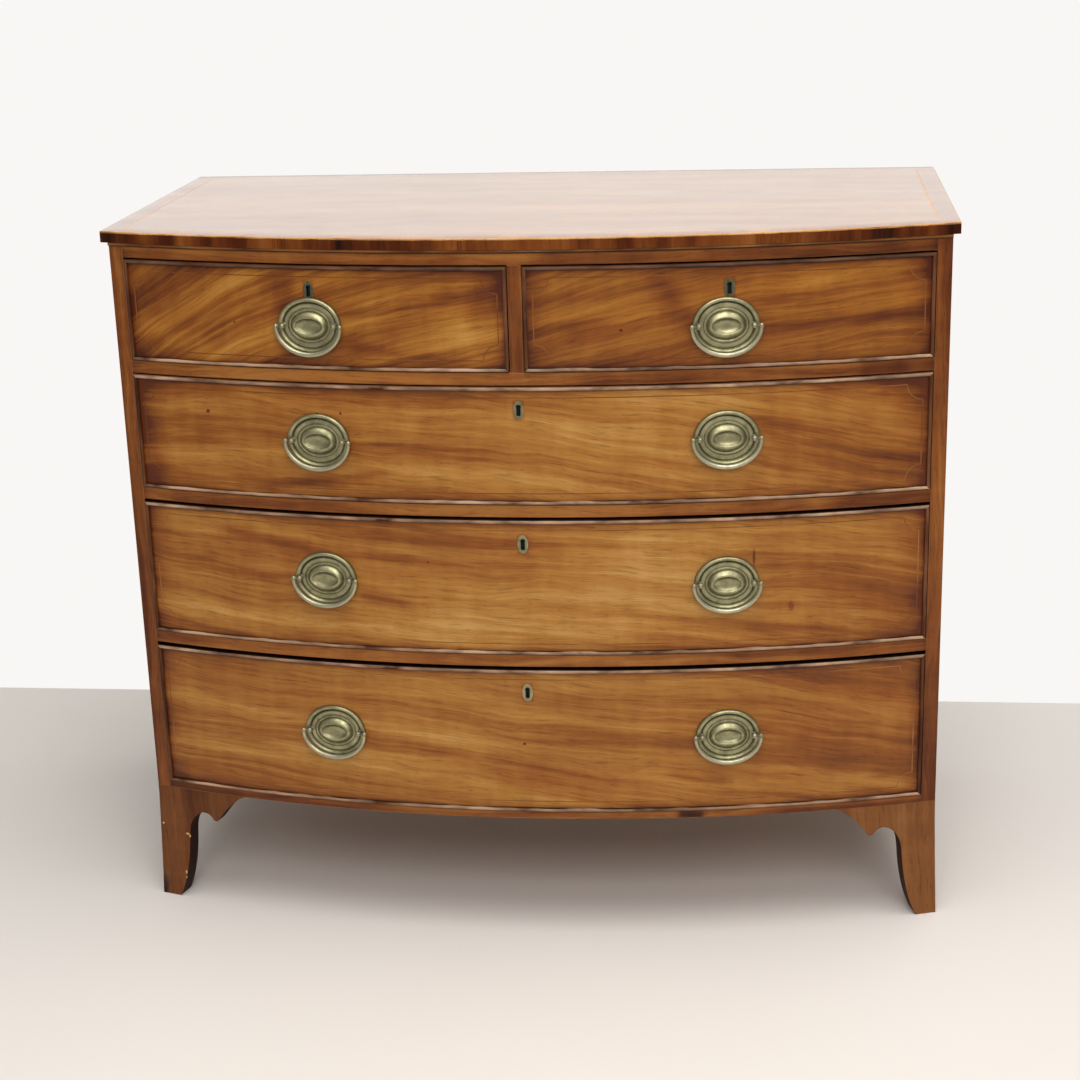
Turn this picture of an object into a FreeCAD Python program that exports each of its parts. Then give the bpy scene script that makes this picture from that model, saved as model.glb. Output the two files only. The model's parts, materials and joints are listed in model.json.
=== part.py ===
"""Bow front chest of drawers: two short drawers over three long ones, on splayed bracket feet.

Sizes are in millimetres. +Z is up and the bowed front faces -Y. The origin is on the floor, at the
middle of the overall width and depth. Every curved front surface is an arc about one upright axis,
the bow axis, so boards, beads, rails and fittings follow the same bow.

Names: a "row" is one level of drawers, an "opening" is the hole in the front that a drawer fills.
Fittings are drawn about their own origin on the face of the front, with -Y pointing out of it, and
are then turned square to the bow by on_bow().
"""
import FreeCAD, Part
import math
import os

Vector = FreeCAD.Vector

# ---------------------------------------------------------------- driving dimensions

# Top board
TOP_WIDTH = 1050.0
TOP_DEPTH = 556.0  # from the crown of the bow to the back edge
BOW_RISE = 83.0  # how far the crown stands out from the front corners of the top
TOP_THICKNESS = 14.0
TOP_ARRIS = 1.0  # rounding of the upper edge
FRONT_OVERHANG = 7.0
SIDE_OVERHANG = 8.5
BACK_OVERHANG = 3.0

# Bead under the front edge of the top
MOULDING_HEIGHT = 5.0
MOULDING_PROUD = 3.5

# Carcase
SIDE_THICKNESS = 18.5  # also the width of the front stiles
STILE_BACK = 14.0  # thickness of a stile at its inner edge
RAIL_THICKNESS = 16.0
TOP_RAIL_HEIGHT = 19.0
BOTTOM_RAIL_HEIGHT = 10.0
RAIL_DEPTH_AT_ENDS = 70.0
MUNTIN_WIDTH = 17.0
BACK_THICKNESS = 10.0
BACK_REBATE_WIDTH = 8.0
BACK_BOARD_COUNT = 4
BACK_BOARD_GAP = 0.5
DUSTBOARD_THICKNESS = 7.0
RUNNER_WIDTH = 38.0
CENTRE_RUNNER_WIDTH = 52.0
GUIDE_HEIGHT = 20.0
STOP_WIDTH = 30.0
STOP_LENGTH = 22.0
STOP_THICKNESS = 5.0
STOP_INSET = 110.0  # from a drawer's side to the middle of its stop

# Openings from the floor up: name, height, worn gap above the drawer, and how far below the top
# of the drawer front its keyhole sits
ROWS = [
    ("bottom", 199.0, 4.0, 31.0),
    ("third", 180.0, 3.5, 31.0),
    ("second", 150.0, 2.0, 28.5),
    ("top", 130.0, 2.0, 30.5),
]

# Bracket feet, measured from the outer corner of the case and up from the floor
FOOT_HEIGHT = 160.0
FOOT_THICKNESS = 20.0
FOOT_FLARE = 4.8
FLARE_HEIGHT = 150.0
FLARE_CURVE = 1.2
WING_LENGTH = 128.0
WING_CURVE = [(0.15, 0.21), (0.38, 0.51), (0.60, 0.73), (0.80, 0.89)]  # shares of its run and rise
POINT_DISTANCE = 83.0
POINT_HEIGHT = 119.0
POINT_WIDTH = 4.0
ARCH_DISTANCE = 64.5
ARCH_HEIGHT = 129.0
LEG_TOP_WIDTH = 48.5
LEG_TOP_HEIGHT = 116.0
LEG_KNEE_WIDTH = 42.0
LEG_KNEE_HEIGHT = 85.0
LEG_CALF_WIDTH = 34.0
LEG_CALF_HEIGHT = 32.0
LEG_BOTTOM_WIDTH = 22.5
FOOT_BLOCK = 17.0
FOOT_BLOCK_RISE = 55.0  # the glue block stops short of the floor
BACK_BRACKET_LENGTH = 86.0
BACK_BRACKET_THICKNESS = 18.0
BACK_BRACKET_EDGE = 60.0  # height of the thin end of the back bracket

# Drawers
FRONT_THICKNESS = 22.0
SIDE_GAP = 0.8  # between a drawer front and the opening, each side
BOTTOM_GAP = 1.0
RUNNING_GAP = 0.3  # under the drawer sides
BEAD_WIDTH = 4.5
BEAD_REBATE = 8.0
BEAD_PROUD = 4.0
BEAD_NOSE = 2.0  # depth of the rounded part
NOSE_FLATS = 5
MITRE_BLUNT = 0.4  # the sharp point of each mitre is rubbed off
LINING_THICKNESS = 10.0  # drawer sides
DRAWER_BACK_THICKNESS = 9.0
LINING_DROP = 3.0  # drawer sides stand this much lower than the front
DRAWER_BACK_DROP = 7.0
DRAWER_BACK_CLEARANCE = 12.0  # from the back boards
DRAWER_BOTTOM_RAISE = 8.0
DRAWER_BOTTOM_THICKNESS = 6.0
GROOVE_DEPTH = 4.0
BOTTOM_MUNTIN_WIDTH = 45.0
BOTTOM_MUNTIN_EXTRA = 2.0
SEAT_GAP = 0.3  # between curved faces that meet
DOVETAIL_PITCH = 42.0
DOVETAIL_WIDTH = 20.0  # at the wide end
DOVETAIL_DEPTH = 10.0
DOVETAIL_SLOPE = 1 / 6

# Oval handles
HANDLE_DROP_TOP_ROW = 10.0  # the short drawers' handles sit below the middle
# Fitted by hand, each handle sits a little off its true place: X and Z
HANDLE_SHIFTS = {
    "top_left": (-0.5, 0.0),
    "top_right": (-4.2, -2.0),
    "second_left": (1.6, 1.8),
    "second_right": (-3.7, 5.9),
    "third_left": (0.4, 3.5),
    "third_right": (-3.7, 1.7),
    "bottom_left": (0.1, 1.5),
    "bottom_right": (-2.6, 4.1),
}
PLATE_WIDTH = 81.0
PLATE_HEIGHT = 68.5
PLATE_FIELD = 1.9  # how far the field of the plate stands off the front
PLATE_RIM = 4.6
PLATE_BOSS = 7.4
PLATE_SEAT = 0.4
RIM_WIDTH = 4.8
BOSS_RADIUS = 22.5
BOSS_DISH = 2.8  # how deep the boss is dished
POST_SPACING = 66.0
POST_SHANK_RADIUS = 2.5
POST_HOLE_CLEARANCE = 0.1
POST_BALL_RADIUS = 4.0
PIVOT_OUT = 8.5
NUT_SIZE = 9.0
NUT_THICKNESS = 3.5
NUT_SEAT = 0.6  # the flat nut stands off the hollow inside of the bow by this much
SHANK_PAST_NUT = 1.5
BAIL_WIDTH = 82.6  # between the centres of the end knobs
BAIL_DROP = 34.8
BAIL_END_RADIUS = 2.2
BAIL_MIDDLE_RADIUS = 3.2
BAIL_KNOB_RADIUS = 3.2
PIN_RADIUS = 1.4
PIN_CLEARANCE = 0.1
PIN_ENGAGEMENT = 3.2
PIN_END_GAP = 0.5
BAIL_SECTIONS = 13

# Locks and keyholes
ESCUTCHEON_WIDTH = 13.5
ESCUTCHEON_HEIGHT = 24.0
ESCUTCHEON_THICKNESS = 1.6
ESCUTCHEON_PROUD = 0.2
KEYHOLE_HEIGHT = 14.0
KEYHOLE_BOW_RADIUS = 2.9
KEYHOLE_SLOT_WIDTH = 5.0
KEY_PIN_RADIUS = 1.1
LOCK_WIDTH = 62.0
LOCK_HEIGHT = 44.0
LOCK_DEPTH = 12.5
LOCK_BODY_WIDTH = 41.0
LOCK_BODY_HEIGHT = 40.0
LOCK_PLATE = 1.6
SCREW_INSET = 5.0  # from the edges of the lock plate
SCREW_HEAD_RADIUS = 2.8
SCREW_RADIUS = 1.4
SCREW_LENGTH = 10.0
SCREW_SLOT = 0.6
SCREW_CLEARANCE = 0.05
BOLT_WIDTH = 18.0
BOLT_THICKNESS = 6.0
BOLT_LENGTH = 18.0
BOLT_SINK = 0.5  # the bolt's top below the top of the front
BOLT_TRAVEL = 9.0
BOLT_CLEARANCE = 0.3
MORTISE_CLEARANCE = 2.0
MORTISE_DEPTH = 9.5

# Cutters and sweeps run this far past the wood, in mm and in degrees round the bow
POCKET_SPARE = 5.0
SWEEP_SPARE = 0.5

# ---------------------------------------------------------------- worked out from them

TOP_RADIUS = ((TOP_WIDTH / 2) ** 2 + BOW_RISE ** 2) / (2 * BOW_RISE)
BACK_Y = TOP_DEPTH / 2
BOW_AXIS_Y = TOP_RADIUS - TOP_DEPTH / 2
CASE_RADIUS = TOP_RADIUS - FRONT_OVERHANG
CASE_HALF = TOP_WIDTH / 2 - SIDE_OVERHANG
CASE_BACK_Y = BACK_Y - BACK_OVERHANG
OPENING_HALF = CASE_HALF - SIDE_THICKNESS
INSIDE_BACK_Y = CASE_BACK_Y - BACK_THICKNESS
INNER_RADIUS = CASE_RADIUS - FRONT_THICKNESS
CORNER_Y = BOW_AXIS_Y - math.sqrt(CASE_RADIUS ** 2 - CASE_HALF ** 2)
STILE_BACK_Y = BOW_AXIS_Y - math.sqrt(CASE_RADIUS ** 2 - OPENING_HALF ** 2) + STILE_BACK
RAIL_BACK_Y = CORNER_Y + RAIL_DEPTH_AT_ENDS
FLOOR_OF_CASE = FOOT_HEIGHT + BOTTOM_RAIL_HEIGHT
SHORT_DRAWER_CENTRE = (OPENING_HALF + MUNTIN_WIDTH / 2) / 2
LEG_EDGE_X = CASE_HALF - LEG_TOP_WIDTH
LEG_EDGE_SLOPE = LEG_EDGE_X / math.sqrt(CASE_RADIUS ** 2 - LEG_EDGE_X ** 2)  # of the bow's normal there


def stack_rows():
    """Return each opening's low and high Z by row name, and the Z of the top board's underside."""
    levels = {}
    z = FLOOR_OF_CASE
    for name, height, _gap, _key_drop in ROWS:
        levels[name] = (z, z + height)
        z += height + RAIL_THICKNESS
    return levels, z - RAIL_THICKNESS + TOP_RAIL_HEIGHT


LEVELS, TOP_UNDERSIDE = stack_rows()
TOP_GAPS = {name: gap for name, _height, gap, _key_drop in ROWS}
KEY_DROPS = {name: key_drop for name, _height, _gap, key_drop in ROWS}
DIVIDED_ROWS = [row[0] for row in ROWS[:-1]]  # those with a dividing rail above them


# ---------------------------------------------------------------- shape helpers


def bow_y(radius, x):
    """Y of the arc of this radius about the bow axis, at x."""
    return BOW_AXIS_Y - math.sqrt(radius ** 2 - x ** 2)


def bow_point(radius, x, z=0.0):
    return Vector(x, bow_y(radius, x), z)


def bow_arc(radius, x_from, x_to, z):
    middle = bow_point(radius, (x_from + x_to) / 2, z)
    return Part.Arc(bow_point(radius, x_from, z), middle, bow_point(radius, x_to, z)).toShape()


def line(start, end):
    return Part.makeLine(start, end)


def prism(edges, direction):
    return Part.Face(Part.Wire(Part.__sortEdges__(edges))).extrude(direction)


def box(x0, x1, y0, y1, z0, z1):
    return Part.makeBox(x1 - x0, y1 - y0, z1 - z0, Vector(x0, y0, z0))


def bowed_board(x0, x1, radius, back_y, z0, z1):
    """A flat board with a bowed front edge and a straight back edge."""
    back_left = Vector(x0, back_y, z0)
    back_right = Vector(x1, back_y, z0)
    edges = [
        bow_arc(radius, x0, x1, z0),
        line(bow_point(radius, x1, z0), back_right),
        line(back_right, back_left),
        line(back_left, bow_point(radius, x0, z0)),
    ]
    return prism(edges, Vector(0, 0, z1 - z0))


def bowed_strip(x0, x1, outer, inner, z0, z1):
    """A curved board between two radii, with ends square to X."""
    edges = [
        bow_arc(outer, x0, x1, z0),
        line(bow_point(outer, x1, z0), bow_point(inner, x1, z0)),
        bow_arc(inner, x0, x1, z0),
        line(bow_point(outer, x0, z0), bow_point(inner, x0, z0)),
    ]
    return prism(edges, Vector(0, 0, z1 - z0))


def polygon_prism(points, direction):
    return Part.Face(Part.makePolygon(points + [points[0]])).extrude(direction)


def nose_outline(width, depth):
    """A worked round nose as flats: pairs of how far across it and how far back from its crown."""
    outline = []
    for index in range(NOSE_FLATS + 1):
        turn = math.pi * index / NOSE_FLATS
        outline.append((width * (1 - math.cos(turn)) / 2, depth * (1 - math.sin(turn))))
    return outline


def nosed_sweep(x0, x1, inner, outer, nose, z0, z1):
    """A strip swept round the bow with a rounded nose, cut square at x0 and x1."""
    crown = BOW_AXIS_Y - outer
    root = BOW_AXIS_Y - inner
    points = [Vector(0, crown + back, z0 + across) for across, back in nose_outline(z1 - z0, nose)]
    points += [Vector(0, root, z1), Vector(0, root, z0)]
    face = Part.Face(Part.makePolygon(points + [points[0]]))
    axis = Vector(0, BOW_AXIS_Y, 0)
    first = math.degrees(math.asin(x0 / inner)) - SWEEP_SPARE
    last = math.degrees(math.asin(x1 / inner)) + SWEEP_SPARE
    face.rotate(axis, Vector(0, 0, 1), first)
    swept = face.revolve(axis, Vector(0, 0, 1), last - first)
    return swept.common(box(x0, x1, crown - 1, BACK_Y, z0 - 1, z1 + 1))


def on_bow(shape, x, z):
    """Turn a fitting drawn at the origin square to the bowed front, and set it at x and z."""
    turn = FreeCAD.Rotation(Vector(0, 0, 1), math.degrees(math.asin(x / CASE_RADIUS)))
    placement = FreeCAD.Placement(bow_point(CASE_RADIUS, x, z), turn)
    return shape.transformed(placement.toMatrix(), True)


def mirrored(shape):
    return shape.mirror(Vector(0, 0, 0), Vector(1, 0, 0))


def group(*shapes):
    """Several separate solids in one node."""
    return Part.Compound([solid for shape in shapes for solid in shape.Solids])


# ---------------------------------------------------------------- carcase


def make_top_board():
    half = TOP_WIDTH / 2
    board = bowed_board(-half, half, TOP_RADIUS, BACK_Y, TOP_UNDERSIDE, TOP_UNDERSIDE + TOP_THICKNESS)
    upper = board.BoundBox.ZMax
    rim = [edge for edge in board.Edges if all(abs(v.Z - upper) < 1e-6 for v in edge.Vertexes)]
    return board.makeFillet(TOP_ARRIS, rim)


def make_top_moulding():
    outer = CASE_RADIUS + MOULDING_PROUD
    low = TOP_UNDERSIDE - MOULDING_HEIGHT
    nose = MOULDING_HEIGHT / 2
    return nosed_sweep(-CASE_HALF, CASE_HALF, CASE_RADIUS, outer, nose, low, TOP_UNDERSIDE)


def make_side():
    """The right side board, rebated at the back for the back boards."""
    board = box(OPENING_HALF, CASE_HALF, STILE_BACK_Y, CASE_BACK_Y, FOOT_HEIGHT, TOP_UNDERSIDE)
    rebate = box(OPENING_HALF, OPENING_HALF + BACK_REBATE_WIDTH, INSIDE_BACK_Y, CASE_BACK_Y,
                 FOOT_HEIGHT, TOP_UNDERSIDE)
    return board.cut(rebate)


def make_front_stiles():
    stile = bowed_board(OPENING_HALF, CASE_HALF, CASE_RADIUS, STILE_BACK_Y, FOOT_HEIGHT, TOP_UNDERSIDE)
    return group(stile, mirrored(stile))


def rail(z0, z1):
    return bowed_board(-OPENING_HALF, OPENING_HALF, CASE_RADIUS, RAIL_BACK_Y, z0, z1)


def bolt_mortise(x, opening_top):
    """The pocket in a rail's underside that a lock bolt rises into."""
    half_width = BOLT_WIDTH / 2 + MORTISE_CLEARANCE
    middle_y = FRONT_THICKNESS - LOCK_DEPTH / 2
    half_depth = BOLT_THICKNESS / 2 + MORTISE_CLEARANCE
    pocket = box(-half_width, half_width, middle_y - half_depth, middle_y + half_depth, 0, MORTISE_DEPTH)
    return on_bow(pocket, x, opening_top)


def make_top_rail():
    opening_top = LEVELS["top"][1]
    board = rail(opening_top, TOP_UNDERSIDE)
    for x in (-SHORT_DRAWER_CENTRE, SHORT_DRAWER_CENTRE):
        board = board.cut(bolt_mortise(x, opening_top))
    return board


def make_dividing_rails():
    rails = []
    for name in DIVIDED_ROWS:
        opening_top = LEVELS[name][1]
        rails.append(rail(opening_top, opening_top + RAIL_THICKNESS).cut(bolt_mortise(0.0, opening_top)))
    return group(*rails)


def make_bottom_rail():
    return rail(FOOT_HEIGHT, FLOOR_OF_CASE)


def make_centre_divider():
    """The upright between the two short drawers, and the guide behind it."""
    low, high = LEVELS["top"]
    half = MUNTIN_WIDTH / 2
    muntin = bowed_board(-half, half, CASE_RADIUS, RAIL_BACK_Y, low, high)
    guide = box(-half, half, RAIL_BACK_Y, INSIDE_BACK_Y, low, low + GUIDE_HEIGHT)
    return group(muntin, guide)


def drawer_spans():
    """Return each drawer's name, row, left and right X of its opening, and names of its handles."""
    half = MUNTIN_WIDTH / 2
    spans = [
        ("top_left", "top", -OPENING_HALF, -half, ["top_left"]),
        ("top_right", "top", half, OPENING_HALF, ["top_right"]),
    ]
    for row in DIVIDED_ROWS:
        spans.append((row, row, -OPENING_HALF, OPENING_HALF, [row + "_left", row + "_right"]))
    return spans


def handle_place(handle, row):
    """X and Z of a handle's pivot line."""
    low, high = LEVELS[row]
    side = -1 if handle.endswith("left") else 1
    drop = HANDLE_DROP_TOP_ROW if row == "top" else 0.0
    shift_x, shift_z = HANDLE_SHIFTS[handle]
    return side * SHORT_DRAWER_CENTRE + shift_x, (low + high) / 2 - drop + shift_z


def make_drawer_runners():
    """Runners beside and between the drawers, kickers over the short drawers, and drawer stops."""
    runner_x = OPENING_HALF - RUNNER_WIDTH
    solids = []
    for name in DIVIDED_ROWS:
        low = LEVELS[name][1]
        runner = box(runner_x, OPENING_HALF, RAIL_BACK_Y, INSIDE_BACK_Y, low, low + RAIL_THICKNESS)
        solids += [runner, mirrored(runner)]
    half = CENTRE_RUNNER_WIDTH / 2
    shelf = LEVELS["second"][1]
    solids.append(box(-half, half, RAIL_BACK_Y, INSIDE_BACK_Y, shelf, shelf + RAIL_THICKNESS))
    opening_top = LEVELS["top"][1]
    kicker = box(runner_x, OPENING_HALF, RAIL_BACK_Y, INSIDE_BACK_Y, opening_top, TOP_UNDERSIDE)
    solids += [kicker, mirrored(kicker)]
    solids.append(box(-half, half, RAIL_BACK_Y, INSIDE_BACK_Y, opening_top, TOP_UNDERSIDE))
    back_of_front = FRONT_THICKNESS + SEAT_GAP
    for _name, row, left, right, _handles in drawer_spans():
        stop = box(-STOP_WIDTH / 2, STOP_WIDTH / 2, back_of_front, back_of_front + STOP_LENGTH,
                   0, STOP_THICKNESS)
        for x in (left + STOP_INSET, right - STOP_INSET):
            solids.append(on_bow(stop, x, LEVELS[row][0]))
    return group(*solids)


def make_dustboards():
    """Thin boards that close each level behind its rail, between the runners."""
    side_x = OPENING_HALF - RUNNER_WIDTH
    centre_x = CENTRE_RUNNER_WIDTH / 2
    solids = []
    for name in DIVIDED_ROWS:
        low = LEVELS[name][1] + (RAIL_THICKNESS - DUSTBOARD_THICKNESS) / 2
        high = low + DUSTBOARD_THICKNESS
        if name == "second":
            board = box(centre_x, side_x, RAIL_BACK_Y, INSIDE_BACK_Y, low, high)
            solids += [board, mirrored(board)]
        else:
            solids.append(box(-side_x, side_x, RAIL_BACK_Y, INSIDE_BACK_Y, low, high))
    return group(*solids)


def make_bottom_board():
    return box(-OPENING_HALF, OPENING_HALF, RAIL_BACK_Y, INSIDE_BACK_Y, FOOT_HEIGHT, FLOOR_OF_CASE)


def make_back_boards():
    half = OPENING_HALF + BACK_REBATE_WIDTH
    pitch = (TOP_UNDERSIDE - FOOT_HEIGHT + BACK_BOARD_GAP) / BACK_BOARD_COUNT
    boards = []
    for index in range(BACK_BOARD_COUNT):
        low = FOOT_HEIGHT + index * pitch
        boards.append(box(-half, half, INSIDE_BACK_Y, CASE_BACK_Y, low, low + pitch - BACK_BOARD_GAP))
    return group(*boards)


# ---------------------------------------------------------------- bracket feet


def flare(z):
    """How far a foot sweeps out from the case at height z."""
    return FOOT_FLARE * max(0.0, 1 - z / FLARE_HEIGHT) ** FLARE_CURVE


def foot_profile(place, direction):
    """The outline of a bracket foot, as a prism. place(distance, z) gives a point in its plane."""
    outside = -3 * FOOT_FLARE
    tip = POINT_DISTANCE + POINT_WIDTH / 2
    leg = Part.BSplineCurve()
    leg.interpolate([
        place(LEG_BOTTOM_WIDTH, 0),
        place(LEG_CALF_WIDTH, LEG_CALF_HEIGHT),
        place(LEG_KNEE_WIDTH, LEG_KNEE_HEIGHT),
        place(LEG_TOP_WIDTH, LEG_TOP_HEIGHT),
        place(ARCH_DISTANCE, ARCH_HEIGHT),
        place(tip - POINT_WIDTH, POINT_HEIGHT),
    ])
    wing_points = [place(tip, POINT_HEIGHT)]
    for run, rise in WING_CURVE:
        wing_points.append(place(tip + run * (WING_LENGTH - tip),
                                 POINT_HEIGHT + rise * (FOOT_HEIGHT - POINT_HEIGHT)))
    wing_points.append(place(WING_LENGTH, FOOT_HEIGHT))
    wing = Part.BSplineCurve()
    wing.interpolate(wing_points)
    edges = [
        line(place(outside, 0), place(LEG_BOTTOM_WIDTH, 0)),
        leg.toShape(),
        line(place(tip - POINT_WIDTH, POINT_HEIGHT), place(tip, POINT_HEIGHT)),
        wing.toShape(),
        line(place(WING_LENGTH, FOOT_HEIGHT), place(outside, FOOT_HEIGHT)),
        line(place(outside, FOOT_HEIGHT), place(outside, 0)),
    ]
    return prism(edges, direction)


def front_profile():
    """The front bracket's outline, sawn square to the bow at the leg's edge."""
    start_y = CORNER_Y - WING_LENGTH

    def place(distance, z):
        x = CASE_HALF - distance
        return Vector(x + LEG_EDGE_SLOPE * (bow_y(CASE_RADIUS, x) - start_y), start_y, z)
    return foot_profile(place, 2 * WING_LENGTH * Vector(-LEG_EDGE_SLOPE, 1, 0))


def side_profile(corner_y, backwards):
    def place(distance, z):
        return Vector(CASE_HALF - WING_LENGTH, corner_y + backwards * distance, z)
    return foot_profile(place, Vector(2 * WING_LENGTH, 0, 0))


def lofted(outline):
    """A solid whose plan at each height is outline(z): curved while it flares, plain above."""
    steps = 6
    heights = [FLARE_HEIGHT * step / steps for step in range(steps + 1)]
    flared = Part.makeLoft([outline(z) for z in heights], True, False)
    plain = Part.Face(outline(FLARE_HEIGHT)).extrude(Vector(0, 0, FOOT_HEIGHT - FLARE_HEIGHT))
    return flared.fuse(plain).removeSplitter()


def front_bracket_plan(z):
    out = flare(z)
    wing_x = CASE_HALF - WING_LENGTH
    outer = CASE_RADIUS + out
    inner = CASE_RADIUS - FOOT_THICKNESS
    corner_x = CASE_HALF + out
    mitre_x = CASE_HALF - FOOT_THICKNESS
    return Part.Wire([
        bow_arc(outer, wing_x, corner_x, z),
        line(bow_point(outer, corner_x, z), bow_point(inner, mitre_x, z)),
        Part.Arc(bow_point(inner, mitre_x, z), bow_point(inner, (wing_x + mitre_x) / 2, z),
                 bow_point(inner, wing_x, z)).toShape(),
        line(bow_point(inner, wing_x, z), bow_point(outer, wing_x, z)),
    ])


def side_bracket_plan(z):
    out = flare(z)
    corner = bow_point(CASE_RADIUS + out, CASE_HALF + out, z)
    mitre = bow_point(CASE_RADIUS - FOOT_THICKNESS, CASE_HALF - FOOT_THICKNESS, z)
    end_y = CORNER_Y + WING_LENGTH
    points = [corner, Vector(CASE_HALF + out, end_y, z), Vector(CASE_HALF - FOOT_THICKNESS, end_y, z), mitre]
    return Part.makePolygon(points + [corner])


def back_side_bracket_plan(z):
    out = flare(z)
    start_y = CASE_BACK_Y - WING_LENGTH
    inner_x = CASE_HALF - FOOT_THICKNESS
    points = [Vector(inner_x, start_y, z), Vector(CASE_HALF + out, start_y, z),
              Vector(CASE_HALF + out, CASE_BACK_Y, z), Vector(inner_x, CASE_BACK_Y, z)]
    return Part.makePolygon(points + [points[0]])


def make_front_foot():
    """The right front foot: bowed front bracket, side bracket and glue block."""
    front_cut = front_profile()
    side_cut = side_profile(CORNER_Y, 1)
    front = lofted(front_bracket_plan).common(front_cut)
    side = lofted(side_bracket_plan).common(side_cut)
    block_x = CASE_HALF - FOOT_THICKNESS
    block = bowed_board(block_x - FOOT_BLOCK, block_x, CASE_RADIUS - FOOT_THICKNESS,
                        CORNER_Y + FOOT_THICKNESS + FOOT_BLOCK, FOOT_BLOCK_RISE, FOOT_HEIGHT)
    block = block.common(front_cut).common(side_cut)
    return group(front, side, block)


def make_back_foot():
    """The right back foot: splayed side bracket, plain back bracket and glue block."""
    side_cut = side_profile(CASE_BACK_Y, -1)
    side = lofted(back_side_bracket_plan).common(side_cut)
    inner_x = CASE_HALF - FOOT_THICKNESS
    front_y = CASE_BACK_Y - BACK_BRACKET_THICKNESS
    back = polygon_prism([
        Vector(inner_x, front_y, 0),
        Vector(inner_x, front_y, FOOT_HEIGHT),
        Vector(inner_x - BACK_BRACKET_LENGTH, front_y, FOOT_HEIGHT),
        Vector(inner_x - BACK_BRACKET_LENGTH, front_y, FOOT_HEIGHT - BACK_BRACKET_EDGE),
        Vector(inner_x - FOOT_BLOCK, front_y, 0),
    ], Vector(0, BACK_BRACKET_THICKNESS, 0))
    block = box(inner_x - FOOT_BLOCK, inner_x, front_y - FOOT_BLOCK, front_y, FOOT_BLOCK_RISE, FOOT_HEIGHT)
    return group(side, back, block.common(side_cut))


# ---------------------------------------------------------------- drawers


def mitred(solid, outside, inside, low_end, high_end, upright):
    """Cut a bead's ends to 45 degrees, from its long outside edge to its short inside edge."""
    step = inside - outside
    outline = [(low_end - BEAD_WIDTH, outside - step), (high_end + BEAD_WIDTH, outside - step),
               (high_end - 2 * BEAD_WIDTH, inside + step), (low_end + 2 * BEAD_WIDTH, inside + step)]
    if upright:
        outline = [(across, along) for along, across in outline]
    points = [Vector(x, -TOP_DEPTH, z) for x, z in outline]
    return solid.common(polygon_prism(points, Vector(0, 2 * TOP_DEPTH, 0)))


def upright_bead(x0, x1, z0, z1):
    inner = CASE_RADIUS - BEAD_REBATE
    crown = bow_y(CASE_RADIUS + BEAD_PROUD, (x0 + x1) / 2)
    outline = nose_outline(x1 - x0, BEAD_NOSE)
    points = [Vector(x0 + across, crown + back, z0) for across, back in outline]
    points = [bow_point(inner, x0, z0)] + points + [bow_point(inner, x1, z0)]
    edges = [line(a, b) for a, b in zip(points, points[1:])] + [bow_arc(inner, x0, x1, z0)]
    return prism(edges, Vector(0, 0, z1 - z0))


def make_cock_bead(left, right, bottom, top):
    """Four mitred beads let into the edges of a drawer front: bottom, top, left and right."""
    inner = CASE_RADIUS - BEAD_REBATE
    outer = CASE_RADIUS + BEAD_PROUD
    x0, x1 = left + MITRE_BLUNT, right - MITRE_BLUNT
    z0, z1 = bottom + MITRE_BLUNT, top - MITRE_BLUNT
    lower = nosed_sweep(x0, x1, inner, outer, BEAD_NOSE, bottom, bottom + BEAD_WIDTH)
    upper = nosed_sweep(x0, x1, inner, outer, BEAD_NOSE, top - BEAD_WIDTH, top)
    left_bead = upright_bead(left, left + BEAD_WIDTH, z0, z1)
    right_bead = upright_bead(right - BEAD_WIDTH, right, z0, z1)
    return group(
        mitred(lower, bottom, bottom + BEAD_WIDTH, left, right, False),
        mitred(upper, top, top - BEAD_WIDTH, left, right, False),
        mitred(left_bead, left, left + BEAD_WIDTH, bottom, top, True),
        mitred(right_bead, right, right - BEAD_WIDTH, bottom, top, True),
    )


def keyhole(depth_from, depth_to):
    """A keyhole through a fitting, with the round part up, centred on the origin."""
    round_z = KEYHOLE_HEIGHT / 2 - KEYHOLE_BOW_RADIUS
    depth = depth_to - depth_from
    barrel = Part.makeCylinder(KEYHOLE_BOW_RADIUS, depth, Vector(0, depth_from, round_z), Vector(0, 1, 0))
    half = KEYHOLE_SLOT_WIDTH / 2
    return barrel.fuse(box(-half, half, depth_from, depth_to, -KEYHOLE_HEIGHT / 2, round_z))


def oval(width, height, y0, y1):
    ellipse = Part.Ellipse(Vector(0, y0, height / 2), Vector(width / 2, y0, 0), Vector(0, y0, 0))
    return Part.Face(Part.Wire(ellipse.toShape())).extrude(Vector(0, y1 - y0, 0))


def lock_span():
    """Local Y of the lock case's two faces."""
    return FRONT_THICKNESS - LOCK_DEPTH, FRONT_THICKNESS


def bolt_box(clearance, low, high):
    middle_y = FRONT_THICKNESS - LOCK_DEPTH / 2
    half_width = BOLT_WIDTH / 2 + clearance
    half_depth = BOLT_THICKNESS / 2 + clearance
    return box(-half_width, half_width, middle_y - half_depth, middle_y + half_depth, low, high)


def lock_outline(spare):
    """The lock: back plate, top plate and the body they carry. spare runs it out of the wood."""
    lock_front, lock_back = lock_span()
    back, top = lock_back + spare, spare
    half = LOCK_WIDTH / 2
    back_plate = box(-half, half, lock_back - LOCK_PLATE, back, -LOCK_HEIGHT, top)
    top_plate = box(-half, half, lock_front, back, -LOCK_PLATE, top)
    half_body = LOCK_BODY_WIDTH / 2
    body = box(-half_body, half_body, lock_front, back, -LOCK_BODY_HEIGHT, top)
    return body.fuse([back_plate, top_plate]).removeSplitter()


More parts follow.
